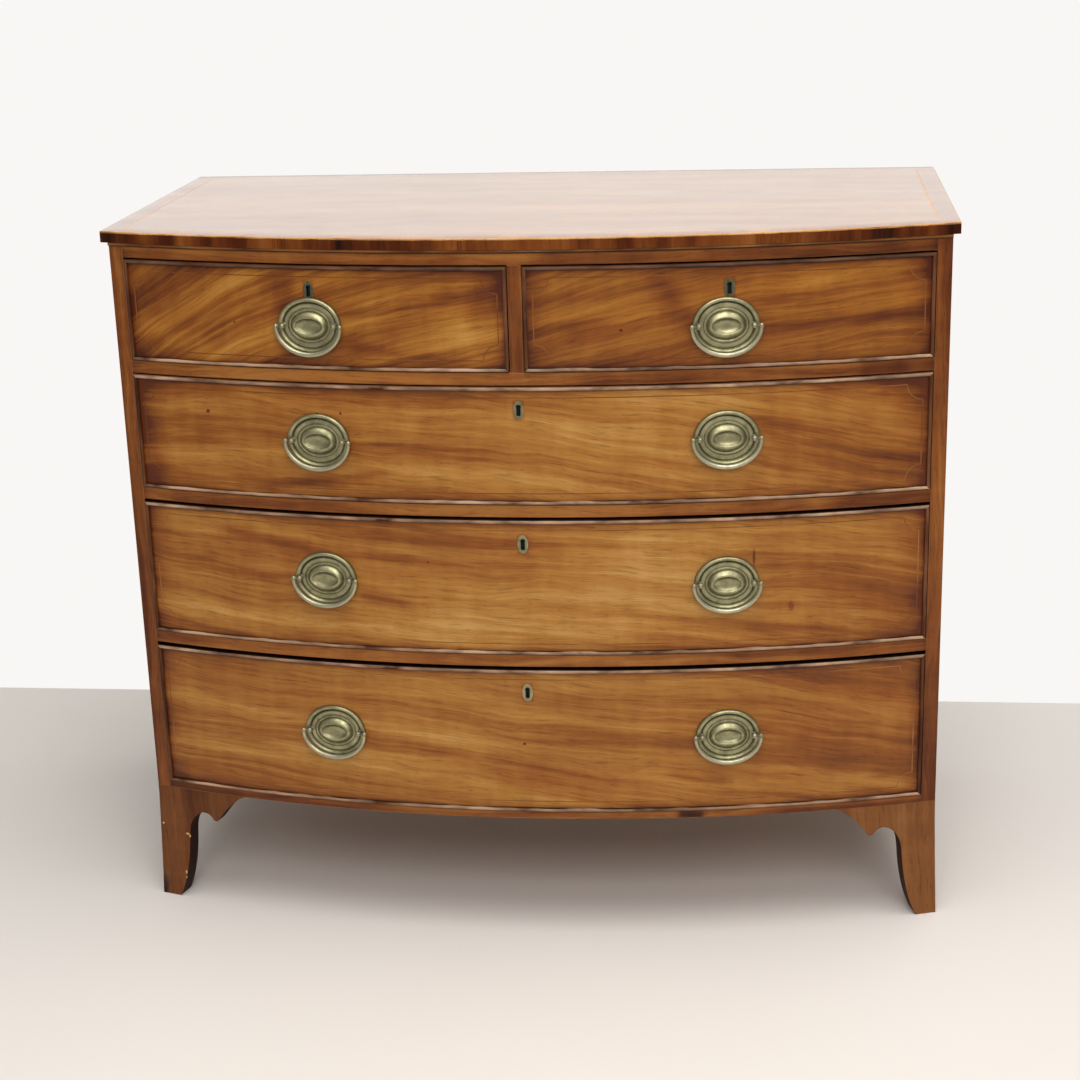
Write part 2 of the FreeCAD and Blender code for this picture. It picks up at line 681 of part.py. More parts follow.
def lock_screws(clearance):
    """Four countersunk screws through the lock's back plate, or the holes for them."""
    lock_back = lock_span()[1]
    inward = Vector(0, -1, 0)
    x = LOCK_WIDTH / 2 - SCREW_INSET
    screws = []
    for side in (-1, 1):
        for z in (-SCREW_INSET - LOCK_PLATE, -LOCK_HEIGHT + SCREW_INSET):
            start = Vector(side * x, lock_back, z)
            radius = SCREW_RADIUS + clearance
            head = Part.makeCone(SCREW_HEAD_RADIUS + clearance, radius, LOCK_PLATE, start, inward)
            shank = Part.makeCylinder(radius, SCREW_LENGTH + clearance, start, inward)
            screw = head.fuse(shank).removeSplitter()
            if clearance == 0:
                half = SCREW_SLOT / 2
                slot = box(side * x - SCREW_HEAD_RADIUS, side * x + SCREW_HEAD_RADIUS,
                           lock_back - SCREW_SLOT, lock_back, z - half, z + half)
                screw = screw.cut(slot)
            screws.append(screw)
    return screws


def dovetails(left, right, side_low, side_top):
    """Tails on the front ends of the drawer sides, as (left tails, right tails)."""
    height = side_top - side_low
    count = max(1, int(height / DOVETAIL_PITCH))
    pitch = height / count
    pairs = []
    for outside, inward in ((left, 1), (right, -1)):
        face_y = bow_y(INNER_RADIUS, outside)
        tip_y = face_y - DOVETAIL_DEPTH
        root_y = face_y + LINING_THICKNESS / 2
        wide = DOVETAIL_WIDTH / 2
        narrow = wide - (root_y - tip_y) * DOVETAIL_SLOPE
        tails = []
        for index in range(count):
            z = side_low + (index + 0.5) * pitch
            tails.append(polygon_prism([
                Vector(outside, tip_y, z - wide), Vector(outside, tip_y, z + wide),
                Vector(outside, root_y, z + narrow), Vector(outside, root_y, z - narrow),
            ], Vector(inward * LINING_THICKNESS, 0, 0)))
        pairs.append(tails)
    return pairs


def make_drawer_front(left, right, bottom, top, side_low, handles, key_x, key_z):
    face = bowed_strip(left + BEAD_WIDTH, right - BEAD_WIDTH, CASE_RADIUS, INNER_RADIUS,
                       bottom + BEAD_WIDTH, top - BEAD_WIDTH)
    ground = bowed_strip(left, right, CASE_RADIUS - BEAD_REBATE, INNER_RADIUS, bottom, top)
    front = face.fuse(ground).removeSplitter()
    for tails in dovetails(left, right, side_low, top - LINING_DROP):
        front = front.cut(tails)
    front = front.cut(on_bow(lock_outline(POCKET_SPARE), key_x, top))
    front = front.cut([on_bow(hole, key_x, top) for hole in lock_screws(SCREW_CLEARANCE)])
    lock_front = lock_span()[0]
    front = front.cut(on_bow(keyhole(-1, lock_front + 1), key_x, key_z))
    recess = oval(ESCUTCHEON_WIDTH, ESCUTCHEON_HEIGHT, -1, ESCUTCHEON_THICKNESS - ESCUTCHEON_PROUD)
    front = front.cut(on_bow(recess, key_x, key_z))
    hole_radius = POST_SHANK_RADIUS + POST_HOLE_CLEARANCE
    for handle_x, handle_z in handles:
        for side in (-1, 1):
            start = Vector(side * POST_SPACING / 2, -POCKET_SPARE, 0)
            depth = FRONT_THICKNESS + 2 * POCKET_SPARE
            hole = Part.makeCylinder(hole_radius, depth, start, Vector(0, 1, 0))
            front = front.cut(on_bow(hole, handle_x, handle_z))
    return front


def make_drawer_box(left, right, side_low, side_top, back_y):
    """Two grooved sides and a back."""
    groove_low = side_low - RUNNING_GAP + DRAWER_BOTTOM_RAISE
    groove_high = groove_low + DRAWER_BOTTOM_THICKNESS
    solids = []
    left_tails, right_tails = dovetails(left, right, side_low, side_top)
    for outside, inward, tails in ((left, 1, left_tails), (right, -1, right_tails)):
        inside = outside + inward * LINING_THICKNESS
        low_x, high_x = min(outside, inside), max(outside, inside)
        board = bowed_board(low_x, high_x, INNER_RADIUS - SEAT_GAP, back_y, side_low, side_top)
        groove_end = inside - inward * GROOVE_DEPTH
        groove = box(min(inside, groove_end), max(inside, groove_end), bow_y(INNER_RADIUS, inside),
                     back_y, groove_low, groove_high)
        solids.append(board.fuse(tails).cut(groove).removeSplitter())
    solids.append(box(left + LINING_THICKNESS, right - LINING_THICKNESS, back_y - DRAWER_BACK_THICKNESS,
                      back_y, groove_high, side_top - DRAWER_BACK_DROP))
    return group(*solids)


def make_drawer_bottom(left, right, side_low, back_y):
    """One thin board in a short drawer, or two with a bearer between them in a long one."""
    low = side_low - RUNNING_GAP + DRAWER_BOTTOM_RAISE
    high = low + DRAWER_BOTTOM_THICKNESS
    radius = INNER_RADIUS - SEAT_GAP
    x0 = left + LINING_THICKNESS - GROOVE_DEPTH
    x1 = right - LINING_THICKNESS + GROOVE_DEPTH
    if right - left < OPENING_HALF + MUNTIN_WIDTH:
        return bowed_board(x0, x1, radius, back_y, low, high)
    middle = (x0 + x1) / 2
    half = BOTTOM_MUNTIN_WIDTH / 2
    return group(
        bowed_board(x0, middle - half, radius, back_y, low, high),
        bowed_board(middle + half, x1, radius, back_y, low, high),
        bowed_board(middle - half, middle + half, radius, back_y, low - BOTTOM_MUNTIN_EXTRA, high),
    )


def make_lock(key_x, key_z, top):
    """Lock let into the back of the front, its drill pin and screws, and the keyhole's inlaid oval."""
    lock_front, lock_back = lock_span()
    case = lock_outline(0).cut(lock_screws(SCREW_CLEARANCE))
    case = case.cut(bolt_box(BOLT_CLEARANCE, -BOLT_SINK - BOLT_LENGTH, 1))
    key_well = keyhole(lock_front - 1, lock_back - 2)
    key_well.translate(Vector(0, 0, key_z - top))
    case = case.cut(key_well)
    pin_z = key_z - top + KEYHOLE_HEIGHT / 2 - KEYHOLE_BOW_RADIUS
    pin = Part.makeCylinder(KEY_PIN_RADIUS, LOCK_DEPTH - 1, Vector(0, lock_front, pin_z), Vector(0, 1, 0))
    case = case.fuse(pin).removeSplitter()
    plate = oval(ESCUTCHEON_WIDTH, ESCUTCHEON_HEIGHT, -ESCUTCHEON_PROUD,
                 ESCUTCHEON_THICKNESS - ESCUTCHEON_PROUD)
    plate = plate.cut(keyhole(-2, 2 * ESCUTCHEON_THICKNESS))
    screws = [on_bow(screw, key_x, top) for screw in lock_screws(0)]
    return group(on_bow(case, key_x, top), on_bow(plate, key_x, key_z), *screws)


def make_bolt(key_x, top):
    return on_bow(bolt_box(0.0, -BOLT_SINK - BOLT_LENGTH, -BOLT_SINK), key_x, top)


# ---------------------------------------------------------------- handles


def make_backplate():
    """Stamped oval plate: a rolled rim, a sunk field, a step and a dished boss."""
    radius = PLATE_WIDTH / 2
    rim_inner = radius - RIM_WIDTH
    step_outer = rim_inner - 4.0
    step_inner = BOSS_RADIUS + 2.5
    section = [
        (0.0, PLATE_BOSS - BOSS_DISH),
        (0.42 * BOSS_RADIUS, PLATE_BOSS - 0.9 * BOSS_DISH),
        (0.66 * BOSS_RADIUS, PLATE_BOSS - 0.5 * BOSS_DISH),
        (0.82 * BOSS_RADIUS, PLATE_BOSS),
        (0.92 * BOSS_RADIUS, PLATE_BOSS - 1.8),
        (BOSS_RADIUS, PLATE_FIELD),
        (step_inner, PLATE_FIELD),
        (step_inner + 1.0, PLATE_FIELD + 0.8),
        (step_outer, PLATE_FIELD + 0.4),
        (step_outer + 0.8, PLATE_FIELD - 0.4),
        (rim_inner, PLATE_FIELD - 0.4),
        (rim_inner + 0.8, PLATE_RIM - 0.8),
        (radius - RIM_WIDTH / 2, PLATE_RIM),
        (radius - 0.6, PLATE_RIM - 1.2),
        (radius, PLATE_SEAT),
    ]
    points = [Vector(r, -out, 0) for r, out in section] + [Vector(0, -PLATE_SEAT, 0)]
    face = Part.Face(Part.makePolygon(points + [points[0]]))
    disc = face.revolve(Vector(0, 0, 0), Vector(0, 1, 0), 360)
    squash = FreeCAD.Matrix()
    squash.scale(1.0, 1.0, PLATE_HEIGHT / PLATE_WIDTH)
    plate = disc.transformGeometry(squash)
    for side in (-1, 1):
        start = Vector(side * POST_SPACING / 2, -PLATE_BOSS, 0)
        hole_radius = POST_SHANK_RADIUS + POST_HOLE_CLEARANCE
        plate = plate.cut(Part.makeCylinder(hole_radius, 2 * PLATE_BOSS, start, Vector(0, 1, 0)))
    return plate


def make_post(side):
    """A ball-headed post with its shank through the front, bored for the bail's pin."""
    x = side * POST_SPACING / 2
    centre = Vector(x, -PIVOT_OUT, 0)
    length = PIVOT_OUT + FRONT_THICKNESS + NUT_SEAT + NUT_THICKNESS + SHANK_PAST_NUT
    shank = Part.makeCylinder(POST_SHANK_RADIUS, length, centre, Vector(0, 1, 0))
    ball = Part.makeSphere(POST_BALL_RADIUS, centre)
    depth = PIN_ENGAGEMENT + PIN_END_GAP
    start = Vector(x + side * (POST_BALL_RADIUS - depth), -PIVOT_OUT, 0)
    bore = Part.makeCylinder(PIN_RADIUS + PIN_CLEARANCE, 2 * depth, start, Vector(side, 0, 0))
    return ball.fuse(shank).cut(bore)


def make_nut(side):
    x = side * POST_SPACING / 2
    seat = FRONT_THICKNESS + NUT_SEAT
    half = NUT_SIZE / 2
    nut = box(x - half, x + half, seat, seat + NUT_THICKNESS, -half, half)
    start = Vector(x, seat - NUT_THICKNESS, 0)
    hole_radius = POST_SHANK_RADIUS + POST_HOLE_CLEARANCE
    return nut.cut(Part.makeCylinder(hole_radius, 3 * NUT_THICKNESS, start, Vector(0, 1, 0)))


def make_handle_plates(handles):
    solids = []
    for handle_x, handle_z in handles:
        pieces = [make_backplate()]
        for side in (-1, 1):
            pieces += [make_post(side), make_nut(side)]
        solids += [on_bow(piece, handle_x, handle_z) for piece in pieces]
    return group(*solids)


def make_bail(handle_x, handle_z):
    """A half-oval drop handle, thicker in the middle, with knobs and pins at its ends."""
    half = BAIL_WIDTH / 2
    rings = []
    for index in range(BAIL_SECTIONS):
        turn = math.pi * index / (BAIL_SECTIONS - 1)
        centre = Vector(half * math.cos(turn), -PIVOT_OUT, -BAIL_DROP * math.sin(turn))
        along = Vector(-half * math.sin(turn), 0, -BAIL_DROP * math.cos(turn))
        radius = BAIL_END_RADIUS + (BAIL_MIDDLE_RADIUS - BAIL_END_RADIUS) * math.sin(turn)
        rings.append(Part.Wire(Part.makeCircle(radius, centre, along)))
    bail = Part.makeLoft(rings, True, False)
    pin_end = POST_SPACING / 2 + POST_BALL_RADIUS - PIN_ENGAGEMENT
    for side in (-1, 1):
        knob_centre = Vector(side * half, -PIVOT_OUT, 0)
        knob = Part.makeSphere(BAIL_KNOB_RADIUS, knob_centre)
        pin = Part.makeCylinder(PIN_RADIUS, half - pin_end, knob_centre, Vector(-side, 0, 0))
        bail = bail.fuse(knob).fuse(pin)
    return on_bow(bail, handle_x, handle_z)


# ---------------------------------------------------------------- the whole chest


def carcase_nodes():
    side = make_side()
    front_foot = make_front_foot()
    back_foot = make_back_foot()
    return {
        "top_board": make_top_board(),
        "top_moulding": make_top_moulding(),
        "side_left": mirrored(side),
        "side_right": side,
        "front_stiles": make_front_stiles(),
        "top_rail": make_top_rail(),
        "dividing_rails": make_dividing_rails(),
        "bottom_rail": make_bottom_rail(),
        "centre_divider": make_centre_divider(),
        "drawer_runners": make_drawer_runners(),
        "dustboards": make_dustboards(),
        "bottom_board": make_bottom_board(),
        "back_boards": make_back_boards(),
        "foot_front_left": mirrored(front_foot),
        "foot_front_right": front_foot,
        "foot_back_left": mirrored(back_foot),
        "foot_back_right": back_foot,
    }


def drawer_nodes(name, row, opening_left, opening_right, handle_names):
    low, high = LEVELS[row]
    left, right = opening_left + SIDE_GAP, opening_right - SIDE_GAP
    bottom, top = low + BOTTOM_GAP, high - TOP_GAPS[row]
    side_low, side_top = low + RUNNING_GAP, top - LINING_DROP
    back_y = INSIDE_BACK_Y - DRAWER_BACK_CLEARANCE
    handles = [handle_place(handle, row) for handle in handle_names]
    key_x = (opening_left + opening_right) / 2
    key_z = top - KEY_DROPS[row]
    front = make_drawer_front(left, right, bottom, top, side_low, handles, key_x, key_z)
    nodes = {
        "drawer_front_" + name: front,
        "cock_bead_" + name: make_cock_bead(left, right, bottom, top),
        "drawer_box_" + name: make_drawer_box(left, right, side_low, side_top, back_y),
        "drawer_bottom_" + name: make_drawer_bottom(left, right, side_low, back_y),
        "handle_plates_" + name: make_handle_plates(handles),
        "lock_" + name: make_lock(key_x, key_z, top),
        "bolt_" + name: make_bolt(key_x, top),
    }
    for handle, (handle_x, handle_z) in zip(handle_names, handles):
        nodes["bail_" + handle] = make_bail(handle_x, handle_z)
    return nodes


def all_nodes():
    nodes = carcase_nodes()
    for span in drawer_spans():
        nodes.update(drawer_nodes(*span))
    return nodes


def main():
    os.makedirs("parts", exist_ok=True)
    for name, shape in all_nodes().items():
        shape.exportStep("parts/" + name + ".step")


main()
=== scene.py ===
"""Looks of the bow front chest of drawers: fine pieces, finishes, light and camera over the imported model.

Sizes are in millimetres and become metres when a mesh is made. +Z is up and the bowed front faces
-Y. "Bow" places are given as x, z and how far out of the drawer fronts' curved face (out).
"""

import json
from collections import namedtuple
from math import asin, atan2, copysign, cos, exp, hypot, pi, radians, sin, sqrt

import bmesh
import bpy
from mathutils import Matrix, Vector, noise


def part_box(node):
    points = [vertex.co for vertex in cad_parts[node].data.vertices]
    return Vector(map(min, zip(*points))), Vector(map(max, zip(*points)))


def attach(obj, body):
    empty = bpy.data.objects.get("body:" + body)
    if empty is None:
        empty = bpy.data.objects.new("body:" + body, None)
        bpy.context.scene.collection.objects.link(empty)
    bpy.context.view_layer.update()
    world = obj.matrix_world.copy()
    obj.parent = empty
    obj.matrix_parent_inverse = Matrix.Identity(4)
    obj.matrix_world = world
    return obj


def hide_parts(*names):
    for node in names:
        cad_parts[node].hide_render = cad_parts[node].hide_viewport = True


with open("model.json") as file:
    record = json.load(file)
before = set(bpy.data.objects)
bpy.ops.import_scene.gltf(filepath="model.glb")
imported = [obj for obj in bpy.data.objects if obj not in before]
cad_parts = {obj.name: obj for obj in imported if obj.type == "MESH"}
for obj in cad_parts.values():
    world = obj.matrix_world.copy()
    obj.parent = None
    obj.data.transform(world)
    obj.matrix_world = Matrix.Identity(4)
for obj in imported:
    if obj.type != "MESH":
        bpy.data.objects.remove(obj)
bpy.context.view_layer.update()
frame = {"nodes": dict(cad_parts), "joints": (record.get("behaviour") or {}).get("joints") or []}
NODES = frame["nodes"]
MM = 0.001

# ---- dimensions of the chest

TOP_WIDTH = 1050.0
TOP_DEPTH = 556.0
BOW_RISE = 83.0
FRONT_OVERHANG = 7.0
TOP_RADIUS = ((TOP_WIDTH / 2) ** 2 + BOW_RISE ** 2) / (2 * BOW_RISE)
BOW_AXIS_Y = TOP_RADIUS - TOP_DEPTH / 2
CASE_RADIUS = TOP_RADIUS - FRONT_OVERHANG

BEAD_WIDTH = 4.5
BEAD_REBATE = 8.0
BEAD_PROUD = 4.0
BEAD_NOSE = 2.0

PLATE_WIDTH = 81.0
POST_SPACING = 66.0
PIVOT_OUT = 8.5
BAIL_WIDTH = 82.6
BAIL_DROP = 34.8
FRONT_THICKNESS = 22.0

# ---- shape helpers


def bow_y(out, x):
    return BOW_AXIS_Y - sqrt((CASE_RADIUS + out) ** 2 - x * x)


def bow_point(x, z, out=0.0):
    return Vector((x, bow_y(out, x), z))


def on_bow(x, z):
    """Placement of a fitting drawn at the origin, facing -Y, on the bowed face at x and z."""
    turn = asin(x / CASE_RADIUS)
    return Matrix.Translation(bow_point(x, z)) @ Matrix.Rotation(turn, 4, "Z")


def turns(count):
    """This many angles, evenly round a circle."""
    return [2 * pi * i / count for i in range(count)]


def smoothstep(low, high, value):
    share = min(1.0, max(0.0, (value - low) / (high - low)))
    return share * share * (3 - 2 * share)


def wander(x, z, size, seed):
    """Smooth random value from -1 to 1 that changes over about size millimetres."""
    return noise.noise(Vector((x / size, z / size, seed)))


class Build:
    """A mesh under construction: points in millimetres, faces, grain places and masks."""

    def __init__(self):
        self.points = []
        self.grain = []
        self.masks = {}
        self.faces = []
        self.slots = []
        self.face_grain = {}

    def point(self, place, grain=(0.0, 0.0), **masks):
        self.points.append(Vector(place))
        self.grain.append(grain)
        for name in masks:
            self.masks.setdefault(name, {})[len(self.points) - 1] = masks[name]
        return len(self.points) - 1

    def face(self, corners, slot=0, grain=None):
        """Add a face; grain gives its corners' places on the board where the points' own don't fit."""
        if grain:
            self.face_grain[len(self.faces)] = grain
        self.faces.append(tuple(corners))
        self.slots.append(slot)

    def loft(self, rings, closed=True, caps=True, slot=0):
        """Skin over rings of point numbers, each ring going round the section."""
        count = len(rings[0])
        last = count if closed else count - 1
        for ring, following in zip(rings, rings[1:]):
            for i in range(last):
                j = (i + 1) % count
                self.face((ring[i], ring[j], following[j], following[i]), slot)
        if caps:
            self.face(reversed(rings[0]), slot)
            self.face(rings[-1], slot)

    def wall(self, upper, lower, slot=0):
        """Faces between two closed rings of point numbers."""
        for i in range(len(upper)):
            j = (i + 1) % len(upper)
            self.face((upper[j], upper[i], lower[i], lower[j]), slot)

    def grid(self, xs, zs, numbers, gap=((), ())):
        """Faces between points numbered by x and z, but for the cells that start in the gap."""
        for x, next_x in zip(xs, xs[1:]):
            for z, next_z in zip(zs, zs[1:]):
                if x not in gap[0] or z not in gap[1]:
                    self.face((numbers[x, z], numbers[next_x, z],
                               numbers[next_x, next_z], numbers[x, next_z]))

    def piece(self, name, materials, body, material_slot, replaces=(), sharp=35.0):
        """Make the mesh, with edges sharp above this many degrees, and put it in the scene."""
        mesh = bpy.data.meshes.new(name)
        mesh.from_pydata([point * MM for point in self.points], [], self.faces)
        for material in materials:
            mesh.materials.append(material)
        mesh.polygons.foreach_set("material_index", self.slots)
        layer = mesh.uv_layers.new(name="grain")
        for polygon in mesh.polygons:
            own = self.face_grain.get(polygon.index)
            for order, loop in enumerate(polygon.loop_indices):
                u, v = own[order] if own else self.grain[polygon.vertices[order]]
                layer.data[loop].uv = (u * MM, v * MM)
        for mask, values in self.masks.items():
            attribute = mesh.attributes.new(mask, "FLOAT", "POINT")
            for index, value in values.items():
                attribute.data[index].value = value
        fix_normals(mesh)
        mesh.shade_smooth()
        mesh.set_sharp_from_angle(angle=radians(sharp))
        settle(bpy.data.objects.new(name, mesh), body, replaces)


def fix_normals(mesh):
    """Turn every face outwards."""
    shell = bmesh.new()
    shell.from_mesh(mesh)
    bmesh.ops.recalc_face_normals(shell, faces=shell.faces)
    shell.to_mesh(mesh)
    shell.free()


def settle(piece, body, replaces):
    """Link a piece, let it ride on its body and hide the CAD parts that it stands for."""
    bpy.context.scene.collection.objects.link(piece)
    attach(piece, body)
    if replaces:
        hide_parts(*replaces)


# ---- material helpers


class Graph:
    """The node tree of a material or world, with one short call for each kind of node used here."""

    def __init__(self, owner):
        owner.use_nodes = True
        self.owner = owner
        self.tree = owner.node_tree
        self.shader = self.tree.nodes.get("Principled BSDF")

    def add(self, kind, inputs=(), **settings):
        made = self.tree.nodes.new("ShaderNode" + kind)
        for name, value in settings.items():
            setattr(made, name, value)
        for name, value in dict(inputs).items():
            self.feed(made.inputs[name], value)
        return made

    def feed(self, socket, value):
        if isinstance(value, bpy.types.NodeSocket):
            self.tree.links.new(value, socket)
        else:
            socket.default_value = value

    def set(self, **values):
        for name, value in values.items():
            self.feed(self.shader.inputs[name.replace("_", " ")], value)

    def math(self, operation, a, b):
        return self.add("Math", {0: a, 1: b}, operation=operation).outputs[0]

    def vector(self, operation, a, b):
        return self.add("VectorMath", {0: a, 1: b}, operation=operation).outputs[0]

    def noise(self, place, along, across, detail=3.0, roughness=0.5):
        """Noise that changes this many times to a metre, along and across the grain."""
        scaled = self.vector("MULTIPLY", place, (along, across, across))
        inputs = {"Vector": scaled, "Scale": 1.0, "Detail": detail, "Roughness": roughness}
        return self.add("TexNoise", inputs).outputs["Fac"]

    def spread(self, value, low, high, to_low=0.0, to_high=1.0):
        inputs = {0: value, 1: low, 2: high, 3: to_low, 4: to_high}
        return self.add("MapRange", inputs, clamp=True).outputs[0]

    def mix(self, share, a, b, blend="MIX"):
        made = self.add("Mix", data_type="RGBA", blend_type=blend)
        for index, value in ((0, share), (6, a), (7, b)):
            self.feed(made.inputs[index], value)
        return made.outputs[2]

    def ramp(self, value, stops):
        made = self.add("ValToRGB", {0: value})
        elements = made.color_ramp.elements
        while len(elements) < len(stops):
            elements.new(0.5)
        for element, (place, colour) in zip(elements, stops):
            element.position = place
            element.color = (*colour, 1.0)
        return made.outputs[0]

    def mask(self, name):
        return self.add("Attribute", attribute_name=name).outputs["Fac"]

    def bump(self, height, strength, distance):
        inputs = {"Height": height, "Strength": strength, "Distance": distance}
        self.set(Normal=self.add("Bump", inputs).outputs[0])


def srgb(red, green, blue):
    """A colour as a picture writes it, turned to the linear light that shaders use."""
    channels = []
    for value in (red / 255, green / 255, blue / 255):
        channels.append(value / 12.92 if value <= 0.04045 else ((value + 0.055) / 1.055) ** 2.4)
    return tuple(channels)


def palette(*colours):
    return [srgb(*colour) for colour in colours]


def rgba(colour, share=1.0):
    return (*(share * part for part in colour), 1.0)


def grain_place(graph, along):
    """Where a point is on its board: the UV map, or for CAD pieces the axis the grain runs along."""
    if along == "uv":
        return graph.add("UVMap", uv_map="grain").outputs[0]
    place = graph.add("TexCoord").outputs["Object"]
    parts = graph.add("SeparateXYZ", {0: place}).outputs
    order = {"x": (0, 2, 1), "y": (1, 2, 0), "z": (2, 0, 1)}[along]
    inputs = {i: parts[axis] for i, axis in enumerate(order)}
    return graph.add("CombineXYZ", inputs).outputs[0]


def wood(name, tones, along="uv", figure=1.0, streaks=(1.7, 30.0), lines=(7.0, 150.0), flecks=0.45,
         roughness=(0.32, 0.46), coat=0.1, gloss=0.25, worn=None):
    """Polished or bare wood. tones are its dark, middle, bright and light colours; streaks and lines
    say how many of its broad and narrow stripes there are to a metre, along and across the grain;
    flecks says how dark its pores are, and the last colour is the one where it is rubbed, which on
    the beads and on the moulding under the top is also a painted highlight."""
    graph = Graph(bpy.data.materials.new(name))
    place = grain_place(graph, along)
    bent = bent_grain(graph, place)
    bands = graph.noise(bent, *streaks, 4.0, 0.55)
    narrow = graph.noise(bent, *lines, 3.0, 0.6)
    fibres = graph.noise(bent, 26.0, 900.0, 2.0, 0.6)
    mottle = graph.noise(place, 42.0, 15.0, 2.0)
    patches = graph.noise(place, 2.6, 10.0, 2.0)
    tone = graph.math("ADD", graph.mask("shade"), 0.5)
    for part, share in ((bands, 1.5), (narrow, 0.75), (patches, 0.7), (mottle, 0.3), (fibres, 0.3)):
        change = graph.math("MULTIPLY", graph.math("SUBTRACT", part, 0.5), share * figure)
        tone = graph.math("ADD", tone, change)
    colour = graph.ramp(tone, list(zip(TONE_PLACES, tones)))
    redness = graph.spread(graph.noise(place, 3.1, 14.0), 0.45, 0.7, 0.0, RED_SHARE)
    colour = graph.mix(redness, colour, rgba(RED_TINT), "MULTIPLY")
    pits = graph.spread(graph.noise(bent, 75.0, 850.0, 2.0), 0.62, 0.72, 0.0, flecks)
    colour = graph.mix(pits, colour, rgba(tones[0], 0.3))
    dashes = graph.spread(graph.noise(bent, 26.0, 330.0, 3.0, 0.6), 0.55, 0.7, 0.0, DASH_SHARE)
    colour = graph.mix(dashes, colour, rgba(tones[0], 0.6))
    # The rubbed colour goes where the mask says: wear, and on the beads and the moulding under the top also
    # a painted highlight
    if worn:
        wear_and_highlight_share = graph.spread(graph.noise(place, 14.0, 40.0, 3.0, 0.6), 0.35, 0.6)
        wear_and_highlight_share = graph.math("MULTIPLY", wear_and_highlight_share, graph.mask("worn"))
        colour = graph.mix(wear_and_highlight_share, colour, rgba(worn))
    graph.set(Base_Color=colour, Coat_Weight=coat, Coat_Roughness=0.16, Specular_IOR_Level=gloss)
    graph.set(Roughness=graph.spread(graph.noise(place, 9.0, 23.0), 0.3, 0.7, *roughness))
    relief = graph.math("SUBTRACT", graph.math("MULTIPLY", fibres, 0.4), pits)
    graph.bump(relief, 0.25, 0.0002)
    return graph.owner


def bent_grain(graph, place):
    """The board's places with the grain's slow waves worked in."""
    wave = graph.noise(place, 4.0, 9.0, 2.0)
    ripple = graph.noise(place, 17.0, 40.0, 2.0)
    rise = graph.math("ADD", graph.math("MULTIPLY", wave, 0.04), graph.math("MULTIPLY", ripple, 0.006))
    lift = graph.add("CombineXYZ", {1: rise}).outputs[0]
    return graph.vector("ADD", place, lift)


TONE_PLACES = (0.0, 0.36, 0.66, 1.0)  # where a wood's four colours lie from dark to light
RED_TINT = (1.0, 0.7, 0.46)
RED_SHARE = 0.25
DASH_SHARE = 0.4  # how dark the short lines in the grain are
CASE_TONES = palette((56, 20, 6), (100, 50, 18), (134, 76, 30), (164, 106, 48))
FOOT_TONES = palette((56, 24, 11), (102, 57, 27), (133, 84, 44), (156, 106, 62))
GOLDEN_TONES = palette((88, 36, 6), (140, 80, 21), (171, 117, 48), (197, 152, 84))
AMBER_TONES = palette((76, 28, 4), (126, 68, 15), (160, 102, 32), (188, 136, 62))


# ---- the drawers, and how each one looks

# key_drop: from the top of the beads down to the middle of the keyhole plate. slopes: how the grain
# lines rise to the right, at the left end, middle and right. figure: how strong the grain is.
# line: how dark the stringing is, lights: how pale the beads below and above are, wear together with
# a painted highlight, wall: how dark the wall in the gap above is, a painted shade, and key_grime: how
# dirty the keyhole plate is.
Drawer = namedtuple("Drawer", "handles key_drop slopes tones figure line lights wall key_grime")
DRAWERS = {
    "top_left": Drawer(["top_left"], 30.5, (0.75, 0.34, 0.12), AMBER_TONES, 1.05,
                       -0.26, (1.0, 0.15), 0.1, 0.9),
    "top_right": Drawer(["top_right"], 30.5, (0.22, 0.2, -0.05), AMBER_TONES, 0.85,
                        -0.24, (0.8, 0.12), 0.0, 0.85),
    "second": Drawer(["second_left", "second_right"], 28.5, (0.02, -0.1, -0.24), GOLDEN_TONES, 0.85,
                     -0.16, (0.9, 0.75), 0.5, 0.5),
    "third": Drawer(["third_left", "third_right"], 31.0, (-0.08, -0.06, -0.2), GOLDEN_TONES, 0.88,
                    0.0, (0.9, 0.75), -0.3, 0.2),
    "bottom": Drawer(["bottom_left", "bottom_right"], 31.0, (-0.05, -0.1, -0.22), GOLDEN_TONES, 0.8,
                     0.05, (0.8, 0.75), -0.5, 0.15),
}

# ---- camera, light and floor

CAMERA_PLACE = (308.3, -2679.8, 1318.5)
CAMERA_TURN = (-0.3119, 0.0301, 0.1185)  # radians: tilt, roll, and turn about the upright
CAMERA_LENS = 69.15
WALL_Y = 535.0
WALL_COLOUR = srgb(249, 247, 245)
ROOM_LEVEL = 0.32
FLOOR_COLOUR = srgb(232, 226, 220)
FLOOR_REACH = 6000.0
LAMP_COLOUR = (1.0, 0.99, 0.97)

# Lamps, in metres and watts: name, place, target, size and power
LAMPS = [
    ("ceiling", (0.45, -0.6, 3.3), (0.1, -0.1, 0.0), (3.2, 2.4), 89.0),
    ("front", (0.7, -3.4, 2.9), (0.0, 0.0, 0.4), (2.6, 1.6), 62.0),
]


def make_camera():
    data = bpy.data.cameras.new("camera")
    data.lens = CAMERA_LENS
    data.sensor_width = 36.0
    camera = bpy.data.objects.new("camera", data)
    tilt, roll, turn = CAMERA_TURN
    axes = (Matrix.Rotation(turn, 3, "Z") @ Matrix.Rotation(tilt, 3, "X") @ Matrix.Rotation(roll, 3, "Y"))
    right, forward, up = axes.col
    basis = Matrix((right, up, -forward)).transposed().to_4x4()
    camera.matrix_world = Matrix.Translation(Vector(CAMERA_PLACE) * MM) @ basis
    bpy.context.scene.collection.objects.link(camera)
    bpy.context.scene.camera = camera


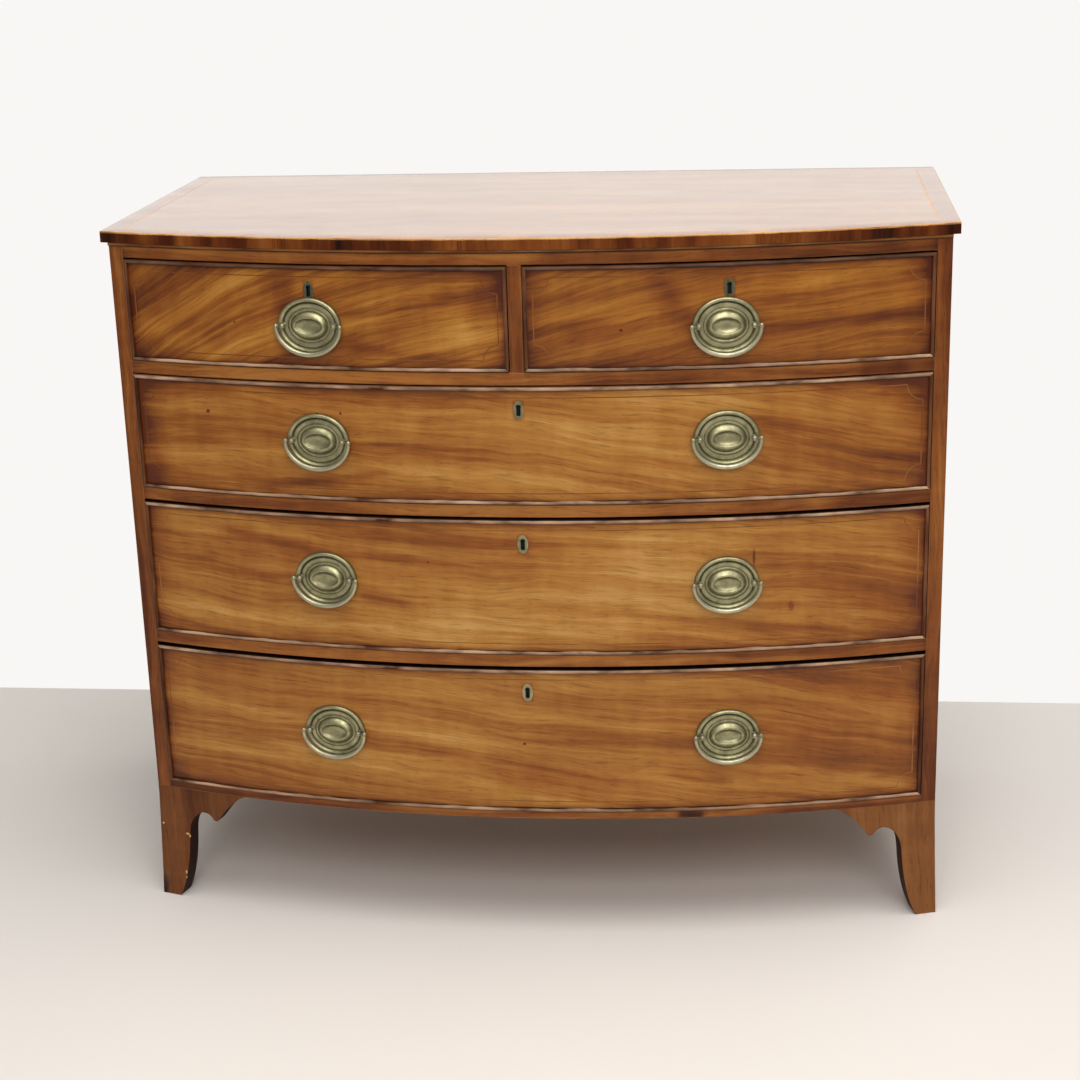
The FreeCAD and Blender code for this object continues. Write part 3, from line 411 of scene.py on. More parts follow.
def make_lamp(name, place, target, size, power):
    data = bpy.data.lights.new(name, "AREA")
    data.shape = "RECTANGLE"
    data.size, data.size_y = size
    data.energy = power
    data.color = LAMP_COLOUR
    lamp = bpy.data.objects.new(name, data)
    lamp.location = place
    aim = Vector(target) - Vector(place)
    lamp.rotation_euler = aim.to_track_quat("-Z", "Y").to_euler()
    bpy.context.scene.collection.objects.link(lamp)


def make_world():
    """White room: white to the camera and in reflections of the wall side, dimmer as light."""
    graph = Graph(bpy.data.worlds.new("room"))
    bpy.context.scene.world = graph.owner
    graph.tree.nodes.clear()
    seen = graph.add("Background", {0: rgba(WALL_COLOUR)}).outputs[0]
    felt = graph.add("Background", {0: rgba(LAMP_COLOUR), 1: ROOM_LEVEL}).outputs[0]
    path = graph.add("LightPath").outputs
    direction = graph.add("TexCoord").outputs["Generated"]
    rearward = graph.add("SeparateXYZ", {0: direction}).outputs[1]
    wall_side = graph.add("MapRange", {0: rearward, 1: 0.05, 2: 0.35}).outputs[0]
    mirrored = graph.math("MULTIPLY", path["Is Glossy Ray"], wall_side)
    white = graph.math("MAXIMUM", path["Is Camera Ray"], mirrored)
    mixed = graph.add("MixShader", {0: white, 1: felt, 2: seen}).outputs[0]
    graph.add("OutputWorld", {0: mixed})


def make_floor():
    """A pale floor that stops at the white wall's foot; the room's white begins there."""
    corners = [(-FLOOR_REACH, -FLOOR_REACH), (FLOOR_REACH, -FLOOR_REACH),
               (FLOOR_REACH, WALL_Y), (-FLOOR_REACH, WALL_Y)]
    mesh = bpy.data.meshes.new("floor")
    mesh.from_pydata([Vector((x, y, 0.0)) * MM for x, y in corners], [], [(0, 1, 2, 3)])
    graph = Graph(bpy.data.materials.new("floor_pale"))
    place = graph.add("TexCoord").outputs["Object"]
    cloud = graph.noise(place, 3.0, 3.0)
    graph.set(Base_Color=graph.mix(cloud, rgba(FLOOR_COLOUR, 0.96), rgba(FLOOR_COLOUR)), Roughness=0.9)
    mesh.materials.append(graph.owner)
    floor = bpy.data.objects.new("floor", mesh)
    bpy.context.scene.collection.objects.link(floor)


# ---- drawer fronts

VENEER_LIFT = 0.05
VENEER_DEPTH = 0.6
CELL = 4.0  # size of the veneer's grid
KEY_OVAL = (13.5, 24.0)
KEY_GAP = (8.0, 14.0)  # half width and height of the gap that the veneer's grid leaves for it

# Darkening of a front along its sides, along its top and bottom, and in its corners: how dark, and how far
# in
SIDE_DARKENING = (-0.42, 9.0)
LEVEL_DARKENING = (-0.26, 5.0)
CORNER_DARKENING = (-0.22, 34.0)

# Streaks in the veneer: from x, z to x, z, half width, and how much darker (below 0) or lighter
# The broad streaks, of half width 60 and more, are painted light: they lighten the middles of the wide
# fronts and darken or lighten their ends as the light falls across the bow
STREAKS = {
    "top_left": [(-300, 872, -262, 777, 20, -0.3), (-216, 812, -14, 843, 6, -0.3),
                 (-485, 798, -395, 768, 14, 0.16), (-90, 815, -22, 767, 22, 0.2),
                 (-480, 764, -330, 852, 6, -0.22), (-440, 760, -300, 838, 5, -0.16),
                 (-210, 780, -95, 762, 8, -0.22), (-190, 835, -60, 860, 10, 0.14)],
    "top_right": [(17, 797, 101, 806, 7, -0.28), (160, 862, 210, 800, 16, -0.26),
                  (300, 797, 480, 803, 8, -0.22), (330, 848, 470, 858, 14, 0.2),
                  (60, 832, 165, 850, 6, -0.12), (300, 822, 440, 838, 6, -0.08)],
    "second": [(-488, 715, -476, 600, 16, -0.24), (-320, 595, -178, 617, 6, -0.26),
               (-187, 654, -30, 650, 3, -0.2), (378, 644, 482, 615, 5, -0.1),
               (435, 716, 488, 700, 14, -0.2), (250, 690, 400, 660, 5, -0.16),
               (-60, 692, 150, 672, 26, 0.16), (150, 622, 330, 604, 7, 0.14),
               (-160, 660, 200, 650, 60, 0.1), (290, 660, 480, 640, 70, -0.18)],
    "third": [(-384, 533, -269, 514, 8, -0.32), (-481, 493, -321, 473, 9, -0.28),
              (-204, 455, -152, 447, 6, -0.24), (-100, 430, 130, 415, 24, 0.18),
              (340, 470, 440, 455, 4, -0.06), (330, 466, 480, 448, 12, 0.14),
              (60, 520, 230, 500, 18, 0.16), (200, 424, 380, 410, 6, -0.16),
              (-160, 480, 220, 470, 70, 0.1), (290, 480, 480, 460, 80, -0.14),
              (-470, 500, -330, 480, 70, 0.1)],
    "bottom": [(340, 250, 480, 204, 16, -0.2), (180, 221, 248, 209, 5, -0.28),
               (-420, 300, -250, 292, 5, -0.14), (-300, 240, -60, 226, 20, 0.12),
               (-60, 300, 180, 280, 22, 0.12), (60, 330, 300, 318, 5, -0.16),
               (290, 270, 480, 260, 80, -0.08), (-140, 280, 180, 270, 80, 0.05)],
}

# Small dark marks: x, z, half width, half height, and how dark
MARKS = {
    "top_left": [(-352, 803, 1.2, 1.2, -0.5)],
    "top_right": [(125, 797, 1.6, 1.4, -0.6)],
    "second": [(-397, 688, 1.9, 1.9, -0.9), (-222, 693, 1.4, 1.4, -0.7), (-252, 692, 1.2, 1.2, -0.6)],
    "third": [(283, 508, 1.7, 9.0, -0.38), (329, 442, 3.4, 5.5, -0.22), (-120, 505, 1.3, 1.3, -0.5)],
    "bottom": [(-6, 264, 1.6, 1.6, -0.6)],
}


def drawer_span(name):
    """Outer edges of a drawer front's beads: left, right, bottom and top."""
    low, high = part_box("cock_bead_" + name)
    return low.x / MM, high.x / MM, low.z / MM, high.z / MM


def key_place(name):
    """Middle of a drawer's keyhole plate."""
    left, right, _, top = drawer_span(name)
    return (left + right) / 2, top - DRAWERS[name].key_drop


def veneer_edges(name):
    """Edges of the veneer inside the beads: left, right, bottom and top."""
    left, right, bottom, top = drawer_span(name)
    return left + BEAD_WIDTH, right - BEAD_WIDTH, bottom + BEAD_WIDTH, top - BEAD_WIDTH


def grain_rise(name, share, width):
    """Height of a grain line above its left end, at this share of the front's width."""
    left, middle, right = DRAWERS[name].slopes
    bend = left - 2 * middle + right
    turn = -3 * left + 4 * middle - right
    return width * (left * share + turn * share ** 2 / 2 + 2 * bend * share ** 3 / 3)


def streak_shade(streaks, x, z, seed):
    """Sum of the streaks at x and z, each soft-edged, ragged and fading out at its ends."""
    total = 0.0
    for x0, z0, x1, z1, width, strength in streaks:
        along = Vector((x1 - x0, z1 - z0))
        away = Vector((x - x0, z - z0))
        share = away.dot(along) / along.length_squared
        across = (away.x * along.y - away.y * along.x) / along.length
        across += 0.5 * width * wander(x, z, 40.0, seed + width)
        end = smoothstep(-0.25, 0.12, share) * (1 - smoothstep(0.88, 1.25, share))
        total += strength * end * exp(-(across / width) ** 2)
    return total


def edge_shade(x, z, edges, seed):
    """Darkening of a front towards its beads and into its corners."""
    x0, x1, z0, z1 = edges
    side = max(0.0, min(x - x0, x1 - x) + 4 * wander(x, z, 30.0, seed))
    level = max(0.0, min(z - z0, z1 - z) + 2 * wander(x, z, 40.0, seed + 3))
    reaches = ((side, *SIDE_DARKENING), (level, *LEVEL_DARKENING), (hypot(side, level), *CORNER_DARKENING))
    return sum(strength * exp(-away / reach) for away, strength, reach in reaches)


def front_point(build, name, x, z, edges, extra=0.0, raised=0.0):
    """A point of the veneer, with its place on the leaf of veneer and how dark it is."""
    x0, x1, z0, z1 = edges
    seed = len(name) + ord(name[-1]) % 13
    rise = grain_rise(name, (x - x0) / (x1 - x0), x1 - x0)
    ripple = 0.06 * wander(x, z, 90.0, seed) + 0.03 * wander(x, z, 25.0, seed + 5)
    shade = edge_shade(x, z, edges, seed) + streak_shade(STREAKS[name], x, z, seed) + extra
    place = bow_point(x, z, VENEER_LIFT + max(-0.04, ripple) + raised)
    return build.point(place, (x + 1300.0 * seed, z - rise + 700.0 * seed), shade=shade)


def make_veneer(name, material):
    """The show veneer of a drawer front, with a hole that the keyhole plate fills."""
    edges = veneer_edges(name)
    key_x, key_z = key_place(name)
    hole_xs = (key_x - KEY_GAP[0], key_x + KEY_GAP[0])
    hole_zs = (key_z - KEY_GAP[1], key_z + KEY_GAP[1])
    xs = steps(edges[0], edges[1], CELL, hole_xs)
    zs = steps(edges[2], edges[3], CELL, hole_zs)
    across = [x for x in xs if hole_xs[0] <= x <= hole_xs[1]]
    up = [z for z in zs if hole_zs[0] <= z <= hole_zs[1]]
    build = Build()
    numbers = {(x, z): front_point(build, name, x, z, edges) for x in xs for z in zs}
    build.grid(xs, zs, numbers, (across[:-1], up[:-1]))
    around_keyhole(build, name, border_of(across, up), numbers, edges)
    turned_edge(build, border_of(xs, zs), numbers)
    build.piece("veneer_" + name, [material], "drawer_" + name, "veneer", sharp=60.0)


def steps(low, high, size, through=()):
    """Evenly spread values from low to high that also pass through the given ones."""
    marks = sorted([low, high, *through])
    values = []
    for first, last in zip(marks, marks[1:]):
        count = max(1, round((last - first) / size))
        values += [first + (last - first) * i / count for i in range(count)]
    return values + [marks[-1]]


def border_of(xs, zs):
    """The grid places round the outside of a grid, in order."""
    border = [(x, zs[0]) for x in xs[:-1]] + [(xs[-1], z) for z in zs[:-1]]
    return border + [(x, zs[-1]) for x in reversed(xs[1:])] + [(xs[0], z) for z in reversed(zs[1:])]


def around_keyhole(build, name, border, numbers, edges):
    """Close the square gap left in the grid down to the oval of the keyhole plate."""
    key_x, key_z = key_place(name)
    width, height = KEY_OVAL
    inner, deep = [], []
    for x, z in border:
        turn = atan2((z - key_z) / height, (x - key_x) / width)
        ring_x = key_x + (width / 2 - 0.15) * cos(turn)
        ring_z = key_z + (height / 2 - 0.15) * sin(turn)
        inner.append(front_point(build, name, ring_x, ring_z, edges, -0.2))
        deep.append(build.point(bow_point(ring_x, ring_z, -VENEER_DEPTH), shade=-0.5))
    build.loft([[numbers[place] for place in border], inner, deep], caps=False)


def turned_edge(build, border, numbers):
    """Turn a sheet's edges back into the wood behind it."""
    rim = [numbers[place] for place in border]
    deep = []
    for number in rim:
        point = build.points[number]
        back = bow_point(point.x, point.z, -VENEER_DEPTH)
        deep.append(build.point(back, build.grain[number], shade=-0.4))
    build.wall(rim, deep)


MARK_CELL = 0.6
MARK_REACH = 2.2  # how far a mark's patch reaches, in half widths of the mark


def make_marks(name, material):
    """Old dents and stains: fine patches over the veneer that darken towards their middles."""
    edges = veneer_edges(name)
    build = Build()
    for x, z, wide, high, strength in MARKS[name]:
        xs = steps(x - MARK_REACH * wide, x + MARK_REACH * wide, MARK_CELL)
        zs = steps(z - MARK_REACH * high, z + MARK_REACH * high, MARK_CELL)
        numbers = {}
        for px in xs:
            for pz in zs:
                away = hypot((px - x) / wide, (pz - z) / high)
                away += 0.35 * wander(px, pz, 2.5 + 0.3 * high, wide)
                dark = strength * (1 - smoothstep(0.6, 1.5, away))
                numbers[px, pz] = front_point(build, name, px, pz, edges, dark, 0.03)
        build.grid(xs, zs, numbers)
        turned_edge(build, border_of(xs, zs), numbers)
    build.piece("marks_" + name, [material], "drawer_" + name, "veneer", sharp=60.0)


# ---- stringing

STRING_WIDTH = 1.3
STRING_INSET = 9.0  # from the beads above and below
STRING_SIDE_INSET = 7.5
STRING_CORNER = 19.0  # radius of the hollow corners


def string_path(x0, x1, z0, z1):
    """Centre line of the inlaid line: a rectangle whose corners are hollow quarter circles."""
    path = []
    corners = [(x1, z1, 1, 1), (x0, z1, -1, 1), (x0, z0, -1, -1), (x1, z0, 1, -1)]
    for index, (x, z, right, up) in enumerate(corners):
        quarter = [radians(turn) for turn in range(0, 91, 9)]
        for angle in quarter if index % 2 else quarter[::-1]:
            path.append((x - right * STRING_CORNER * cos(angle), z - up * STRING_CORNER * sin(angle)))
    filled = []
    for (ax, az), (bx, bz) in zip(path, path[1:] + path[:1]):
        count = max(1, round(hypot(bx - ax, bz - az) / 6.0))
        filled += [(ax + (bx - ax) * i / count, az + (bz - az) * i / count) for i in range(count)]
    return filled


def make_stringing(name, material):
    """The inlaid line of a front, darkened and worn away in places."""
    left, right, bottom, top = drawer_span(name)
    side = BEAD_WIDTH + STRING_SIDE_INSET
    level = BEAD_WIDTH + STRING_INSET
    path = string_path(left + side, right - side, bottom + level, top - level)
    build = Build()
    rings = []
    run = 0.0
    seed = len(name) + 2.5
    for index, (x, z) in enumerate(path):
        before, after = path[index - 1], path[(index + 1) % len(path)]
        along = Vector((after[0] - before[0], after[1] - before[1])).normalized()
        run += hypot(x - before[0], z - before[1]) if index else 0.0
        kept = smoothstep(-0.35, 0.3, wander(x, z, 70.0, seed) + 0.4 * wander(x, z, 14.0, seed))
        normal = Vector((-along.y, along.x)) * STRING_WIDTH * (0.7 + 0.3 * kept) / 2
        ring = []
        for sign, out in ((-1, -0.3), (-1, 0.09), (1, 0.09), (1, -0.3)):
            place = bow_point(x + sign * normal.x, z + sign * normal.y, VENEER_LIFT + out)
            ring.append(build.point(place, (run, sign), shade=DRAWERS[name].line + 0.45 * kept - 0.4))
        rings.append(ring)
    build.loft(rings + rings[:1], caps=False)
    build.piece("stringing_" + name, [material], "drawer_" + name, "veneer")


# ---- cock beads

NOSE_STEPS = 8
BEAD_STATION = 5.0  # spacing of a bead's sections along its run
CHIP_TOP = 861.0  # the split in the left bead of the top right drawer, from its top to its foot
CHIP_BOTTOM = 816.0


def nose(width, proud):
    """A rounded nose: pairs of across and out, from one side of it to the other."""
    angles = [pi * i / NOSE_STEPS for i in range(NOSE_STEPS + 1)]
    return [(width * (1 - cos(angle)) / 2, proud - BEAD_NOSE * (1 - sin(angle))) for angle in angles]


def bead_section():
    """Outline of a bead: pairs of across, from its outer edge, and out of the front's face."""
    root = -BEAD_REBATE + 0.1
    return [(0.0, root), *nose(BEAD_WIDTH, BEAD_PROUD), (BEAD_WIDTH, root)]


def worn_nose(along, across, out, fade, seed, chipped):
    """How far out a bead's point is once its nose has worn and chipped."""
    wobble = 0.16 * wander(along, 0.0, 38.0, seed) + 0.08 * wander(along, 0.0, 9.0, seed)
    kept = out + fade * smoothstep(0.0, BEAD_PROUD, out) * (wobble - 0.12)
    if chipped and kept > 0:
        lost = chip_share(along)
        kept = kept * (1 - lost) + lost * (0.3 + 0.5 * wander(along, across, 3.0, seed))
    return kept


def bead_run(build, place, start, end, seed, shade, wall, light=0.0, upper=None, chipped=False):
    """One mitred bead. place(along, across, out) gives a point; across runs in from the edge. wall is
    how dark its outer wall down in the gap is, a painted shade; light how pale its nose is, wear
    together with a painted highlight on the upper nose; and upper(across) how far up the nose a point
    is, the lower nose being darkened as painted shade."""
    count = round((end - start) / BEAD_STATION)
    rings = []
    for step in range(count + 1):
        share = step / count
        fade = min(1.0, share * 12, (1 - share) * 12)
        ring = []
        for across, out in bead_section():
            along = start + across + share * (end - start - 2 * across)
            sway = fade * 0.12 * wander(along, 4.0, 60.0, seed + 9)
            spot = place(along, across + sway, worn_nose(along, across, out, fade, seed, chipped))
            # Walls down in the gaps take the wall tone: painted shade
            tone, worn = wall, 0.0
            if across > 0 and out >= 0:
                tone = shade + 0.2 * wander(along, 0.0, 60.0, seed + 4)
                if upper:
                    # Level beads: a painted highlight with wear on the upper nose, painted shade on the
                    # lower nose
                    level = upper(across) + 0.12 * wander(along, 0.0, 30.0, seed)
                    rise = smoothstep(0.02, 0.3, level) * (1 - smoothstep(0.93, 0.99, level))
                    worn = light * rise * (1.1 + 0.8 * wander(along, 0.0, 80.0, seed + 2))
                    tone -= 0.3 * (1 - rise)
            ring.append(build.point(spot, (along, across + 9 * seed), shade=tone, worn=max(0.0, worn)))
        rings.append(ring)
    build.loft(rings)


def chip_share(z):
    """Where the bead beside the top right drawer has split away."""
    ragged = CHIP_BOTTOM + 9 * wander(z, 0.0, 5.0, 3.0)
    return smoothstep(ragged, ragged + 5, z) * (1 - smoothstep(CHIP_TOP - 3, CHIP_TOP, z))


def make_beads(name, material):
    """The four mitred beads round a drawer front; the upright ones are darkest."""
    left, right, bottom, top = drawer_span(name)
    low_light, high_light = DRAWERS[name].lights
    build = Build()
    bead_run(build, lambda x, across, out: bow_point(x, bottom + across, out), left, right, 1.3, 0.0,
             0.0, low_light, lambda across: across / BEAD_WIDTH)
    bead_run(build, lambda x, across, out: bow_point(x, top - across, out), left, right, 2.7, -0.05,
             DRAWERS[name].wall, high_light, lambda across: 0.9 - 0.9 * across / BEAD_WIDTH)
    bead_run(build, lambda z, across, out: bow_point(left + across, z, out), bottom, top, 4.1, 0.12, -0.4,
             chipped=name == "top_right")
    bead_run(build, lambda z, across, out: bow_point(right - across, z, out), bottom, top, 5.6, 0.1, -0.4)
    build.piece("beads_" + name, [material], "drawer_" + name, "bead",
                ["cock_bead_" + name], sharp=50.0)


# ---- carcase

# Lighter and darker stretches of each rail, by its height: from x, to x, half width and strength
RAIL_SHADES = {
    884: [(-430, -370, 12, 0.26), (-320, -120, 12, 0.06), (-60, 20, 12, 0.22), (60, 200, 12, -0.1),
          (240, 440, 12, -0.24)],
    739: [(-500, -420, 16, -0.04), (-330, -120, 16, 0.28), (-90, 60, 16, 0.14), (230, 380, 14, 0.2),
          (450, 500, 14, -0.12), (415, 460, 14, -0.2)],
    573: [(-500, -460, 14, 0.2), (-400, -240, 14, -0.1), (-170, 150, 14, 0.27), (250, 340, 14, -0.15),
          (380, 490, 14, -0.4)],
    377: [(-420, -190, 14, 0.2), (-300, 100, 14, 0.16), (70, 190, 14, 0.13), (200, 480, 14, -0.12),
          (450, 490, 14, -0.08)],
    164: [(-490, -390, 14, -0.12), (-350, -220, 14, -0.16), (-20, 60, 14, -0.05), (90, 300, 14, -0.12),
          (190, 218, 14, -0.8), (320, 500, 14, -0.26)],
}
RAIL_STREAKS = [(x0, z, x1, z, width, strength)
                for z, shades in RAIL_SHADES.items() for x0, x1, width, strength in shades]
RAIL_HALF = 497.9
FACING_INSET = 0.35  # how far a facing's edges stay in from its rail's


def make_facing(name, z0, z1, material):
    """The mahogany that faces a rail, with softened long edges."""
    build = Build()
    xs = steps(-RAIL_HALF, RAIL_HALF, 6.0)
    edges = [(z0 + FACING_INSET, -0.25), (z0 + 0.45 + FACING_INSET, VENEER_LIFT)]
    rows = edges + [(z, VENEER_LIFT) for z in steps(z0 + 1.2, z1 - 1.2, 3.5)]
    rows += [(z1 - 0.45 - FACING_INSET, VENEER_LIFT), (z1 - FACING_INSET, -0.25)]
    seed = z0 / 10
    rings = []
    for x in xs:
        ring = []
        for z, out in rows:
            shade = 0.14 + streak_shade(RAIL_STREAKS, x, z, seed) + 0.14 * wander(x, z, 60.0, seed)
            shade -= 0.3 * exp(-(RAIL_HALF - abs(x)) / 7.0)
            # The top rows, under the bead of the drawer above, are lightened against its shadow: painted
            # light
            shade += 0.3 * exp(-(z1 - z) / 2.5)
            ring.append(build.point(bow_point(x, z, out), (x + 90 * seed, z), shade=shade,
                                    worn=0.5 if out < 0 else 0.0))
        rings.append(ring)
    build.loft(rings, closed=False, caps=False)
    build.piece("facing_" + name, [material], "carcase", "mahogany", sharp=60.0)


# Facings of the rails: name, drawer below, the worn gap over that drawer, and drawer above
FACINGS = [("rail_one", "second", 2.0, "top_left"), ("rail_two", "third", 3.5, "second"),
           ("rail_three", "bottom", 4.0, "third")]
TOP_GAP = 2.0  # from the short drawers up to the top rail's facing
BOTTOM_GAP = 1.0  # from a rail's facing up to the drawer over it


def make_facings(material):
    rail_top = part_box("top_rail")[1].z / MM
    rail_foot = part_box("bottom_rail")[0].z / MM
    make_facing("top_rail", drawer_span("top_left")[3] + TOP_GAP, rail_top, material)
    make_facing("bottom_rail", rail_foot, drawer_span("bottom")[2] - BOTTOM_GAP, material)
    for name, below, gap, above in FACINGS:
        make_facing(name, drawer_span(below)[3] + gap, drawer_span(above)[2] - BOTTOM_GAP, material)


# Pieces finished again, in metres and degrees: the softened feet clear the floor by FOOT_SEAT
FOOT_SEAT = 0.0004
EDGE_SOFTNESS = 0.0005
DRESSED_SHARP = 30.0

# How much lighter or darker some pieces are, left and right of the middle
NODE_SHADES = {
    "front_stiles": (0.03, -0.11),
    "centre_divider": (-0.06, -0.06),
    "foot_front_left": (-0.05, 0.0),
    "foot_front_right": (0.0, 0.14),
}


def grain_by_axis(mesh, along):
    """Grain places for each face from the two axes that it lies in, the grain's own axis first."""
    layer = mesh.uv_layers.new(name="grain")
    lengthwise = "xyz".index(along)
    for polygon in mesh.polygons:
        facing = max(range(3), key=lambda axis: abs(polygon.normal[axis]))
        others = [axis for axis in range(3) if axis not in (facing, lengthwise)]
        first = lengthwise if facing != lengthwise else others[0]
        shift = 0.37 * facing
        for loop in polygon.loop_indices:
            place = mesh.vertices[mesh.loops[loop].vertex_index].co
            layer.data[loop].uv = (place[first] + shift, place[others[-1]] + 3 * shift)


def dressed(node, along):
    """A finely finished copy of a CAD piece: welded, with softened edges and grain places. The
    shaped inner edges of a foot are coloured nearly black as painted shade."""
    foot = node.startswith("foot")
    shell = bmesh.new()
    shell.from_mesh(NODES[node].data)
    bmesh.ops.remove_doubles(shell, verts=shell.verts, dist=1e-5)
    flat = radians(0.02 if foot else 0.4)
    bmesh.ops.dissolve_limit(shell, angle_limit=flat, verts=shell.verts, edges=shell.edges)
    mesh = bpy.data.meshes.new(node + "_wood")
    shell.to_mesh(mesh)
    shell.free()
    mesh.materials.clear()
    for material in (FOOT_WOOD if foot else CASE_WOOD, CASE_WORN, FOOT_INNER_SHADE):
        mesh.materials.append(material)
    shades = mesh.attributes.new("shade", "FLOAT", "POINT")
    for vertex in mesh.vertices:
        vertex.co.z = max(vertex.co.z, FOOT_SEAT)
        shades.data[vertex.index].value = NODE_SHADES.get(node, (0.0, 0.0))[vertex.co.x > 0]
    # Foot faces turned in towards the middle take the near-black finish: painted shade
    for polygon in mesh.polygons:
        inwards = -polygon.normal.x * copysign(1.0, polygon.center.x)
        polygon.material_index = 2 if foot and inwards > 0.4 else 0
    grain_by_axis(mesh, along)
    mesh.shade_smooth()
    mesh.set_sharp_from_angle(angle=radians(DRESSED_SHARP))
    piece = bpy.data.objects.new(mesh.name, mesh)
    soften = piece.modifiers.new("soften", "BEVEL")
    soften.width = EDGE_SOFTNESS
    soften.segments = 2
    soften.limit_method = "ANGLE"
    soften.angle_limit = radians(DRESSED_SHARP)
    soften.harden_normals = True
    soften.material = 1
    settle(piece, "carcase", [node])


FOOT_FLARE = 4.8  # how far a foot's toe splays out of the front's curve
FLARE_HEIGHT = 150.0

# Bare places where the left front foot is chipped: x, z, half width and half height
CHIPS = [(-513.5, 104, 1.6, 1.2), (-477.5, 94, 2.6, 1.4), (-474.5, 91, 1.2, 2.0), (-484.0, 37, 1.3, 2.4),
         (-484.5, 29, 0.9, 1.2)]


def make_chips(material):
    """Small chips in the polish of the left front foot, as thin flakes of bare wood."""
    build = Build()
    for number, (x, z, wide, high) in enumerate(CHIPS):
        rim, deep = [], []
        for turn in turns(14):
            reach = 1.0 + 0.5 * wander(9.0 * cos(turn), 9.0 * sin(turn), 6.0, number)
            px, pz = x + wide * reach * cos(turn), z + high * reach * sin(turn)
            flare = FOOT_FLARE * max(0.0, 1 - pz / FLARE_HEIGHT) ** 1.2
            rim.append(build.point(bow_point(px, pz, flare + VENEER_LIFT), (px, pz), shade=0.2))
            deep.append(build.point(bow_point(px, pz, flare - 0.4), (px, pz), shade=-0.2))
        build.face(rim)
        build.face(reversed(deep))
        build.wall(rim, deep)
    build.piece("foot_chips", [material], "carcase", "mahogany", sharp=60.0)


# ---- handles


def handle_places():
    """x and z of each oval handle on the bow, by name, from its bail's hinge."""
    places = {}
    for joint in frame["joints"]:
        if joint["name"].startswith("bail_"):
            x, _, z = (value / MM for value in joint["pos_m"])
            places[joint["name"][5:-6]] = (x * CASE_RADIUS / (CASE_RADIUS + PIVOT_OUT), z)
    return places


# Backplate from its middle to its edge: share of the half width, height over width,
# how far out, and grime from 0 to 1
PLATE_SECTION = [
    (0.04, 0.53, 3.7, 0.3), (0.14, 0.53, 3.75, 0.25), (0.24, 0.53, 4.05, 0.2), (0.32, 0.535, 4.7, 0.15),
    (0.38, 0.54, 5.6, 0.3), (0.415, 0.545, 6.5, 0.5), (0.435, 0.55, 7.2, 0.1), (0.45, 0.56, 7.55, 0.0),
    (0.47, 0.585, 7.5, 0.0), (0.495, 0.625, 6.9, 0.0), (0.52, 0.665, 5.9, 0.0), (0.545, 0.7, 4.6, 0.1),
    (0.562, 0.725, 3.2, 0.3), (0.575, 0.735, 2.1, 0.7), (0.59, 0.742, 2.0, 0.6), (0.605, 0.755, 2.6, 0.3),
    (0.625, 0.765, 2.8, 0.15), (0.65, 0.775, 2.6, 0.4), (0.668, 0.78, 1.95, 0.8), (0.7, 0.79, 2.0, 0.4),
    (0.74, 0.805, 2.3, 0.15), (0.775, 0.82, 2.5, 0.15), (0.805, 0.828, 2.4, 0.35), (0.82, 0.834, 1.7, 0.9),
    (0.835, 0.838, 1.7, 1.0), (0.85, 0.842, 2.6, 0.5), (0.87, 0.846, 3.8, 0.15), (0.9, 0.846, 4.6, 0.0),
    (0.935, 0.846, 4.8, 0.0), (0.965, 0.846, 4.4, 0.0), (0.985, 0.846, 3.4, 0.2), (1.0, 0.846, 1.6, 0.8),
    (1.0, 0.846, 0.4, 1.1),
]
PLATE_SPOKES = 96


def plate_painted_shade(share, upward):
    """Painted shade where the plate's shaped walls face down, and painted light where they face up."""
    if 0.3 < share < 0.44:
        return 0.55 * max(0.0, upward)
    if 0.48 < share < 0.58:
        return 0.35 * max(0.0, -upward)
    if 0.78 < share < 0.87:
        return 0.3 * upward
    if 0.68 < share < 0.78:
        return -0.15 * max(0.0, -upward)
    return 0.0


def add_plate(build, placement):
    """The stamped oval backplate: an oval ring for every station of its section."""
    half = PLATE_WIDTH / 2
    rings = []
    for share, ratio, out, grime in PLATE_SECTION:
        ring = []
        for turn in turns(PLATE_SPOKES):
            place = Vector((half * share * cos(turn), -out, half * share * ratio * sin(turn)))
            # Grime of the hollows, with painted shade and light added by which way the walls face
            plate_darkening = grime + plate_painted_shade(share, sin(turn))
            ring.append(build.point(placement @ place, (place.x, place.z), grime=plate_darkening))
        rings.append(ring)
    middle = build.point(placement @ Vector((0, -PLATE_SECTION[0][2], 0)), grime=0.45)
    for corner, following in zip(rings[0], rings[0][1:] + rings[0][:1]):
        build.face((middle, corner, following))
    build.loft(rings, caps=False)
    build.face(rings[-1])


def add_turned(build, placement, profile, spokes=24):
    """A turned piece about local -Y: its profile gives out, radius, grime and bareness."""
    rings = []
    for out, radius, grime, bare in profile:
        ring = []
        for turn in turns(spokes):
            place = Vector((radius * cos(turn), -out, radius * sin(turn)))
            ring.append(build.point(placement @ place, (place.x, place.z), grime=grime, bare=bare))
        rings.append(ring)
    build.loft(rings)


BALL_RADIUS = 3.7
SHANK_RADIUS = 2.5


def post_profile():
    """The post from its riveted end inside the drawer to its ball."""
    profile = [(-28.0, 2.0, 0.6, 0.0), (-27.6, SHANK_RADIUS, 0.6, 0.0), (2.0, SHANK_RADIUS, 1.0, 0.0),
               (2.2, 3.4, 0.9, 0.0), (3.2, 3.4, 0.5, 0.3), (3.9, SHANK_RADIUS, 0.8, 0.0)]
    start = asin(SHANK_RADIUS / BALL_RADIUS)
    for index in range(13):
        turn = start + (pi - 0.15 - start) * index / 12
        profile.append((PIVOT_OUT - BALL_RADIUS * cos(turn), BALL_RADIUS * sin(turn), 0.4, 0.25))
    return profile


NUT_SEAT = FRONT_THICKNESS + 0.6


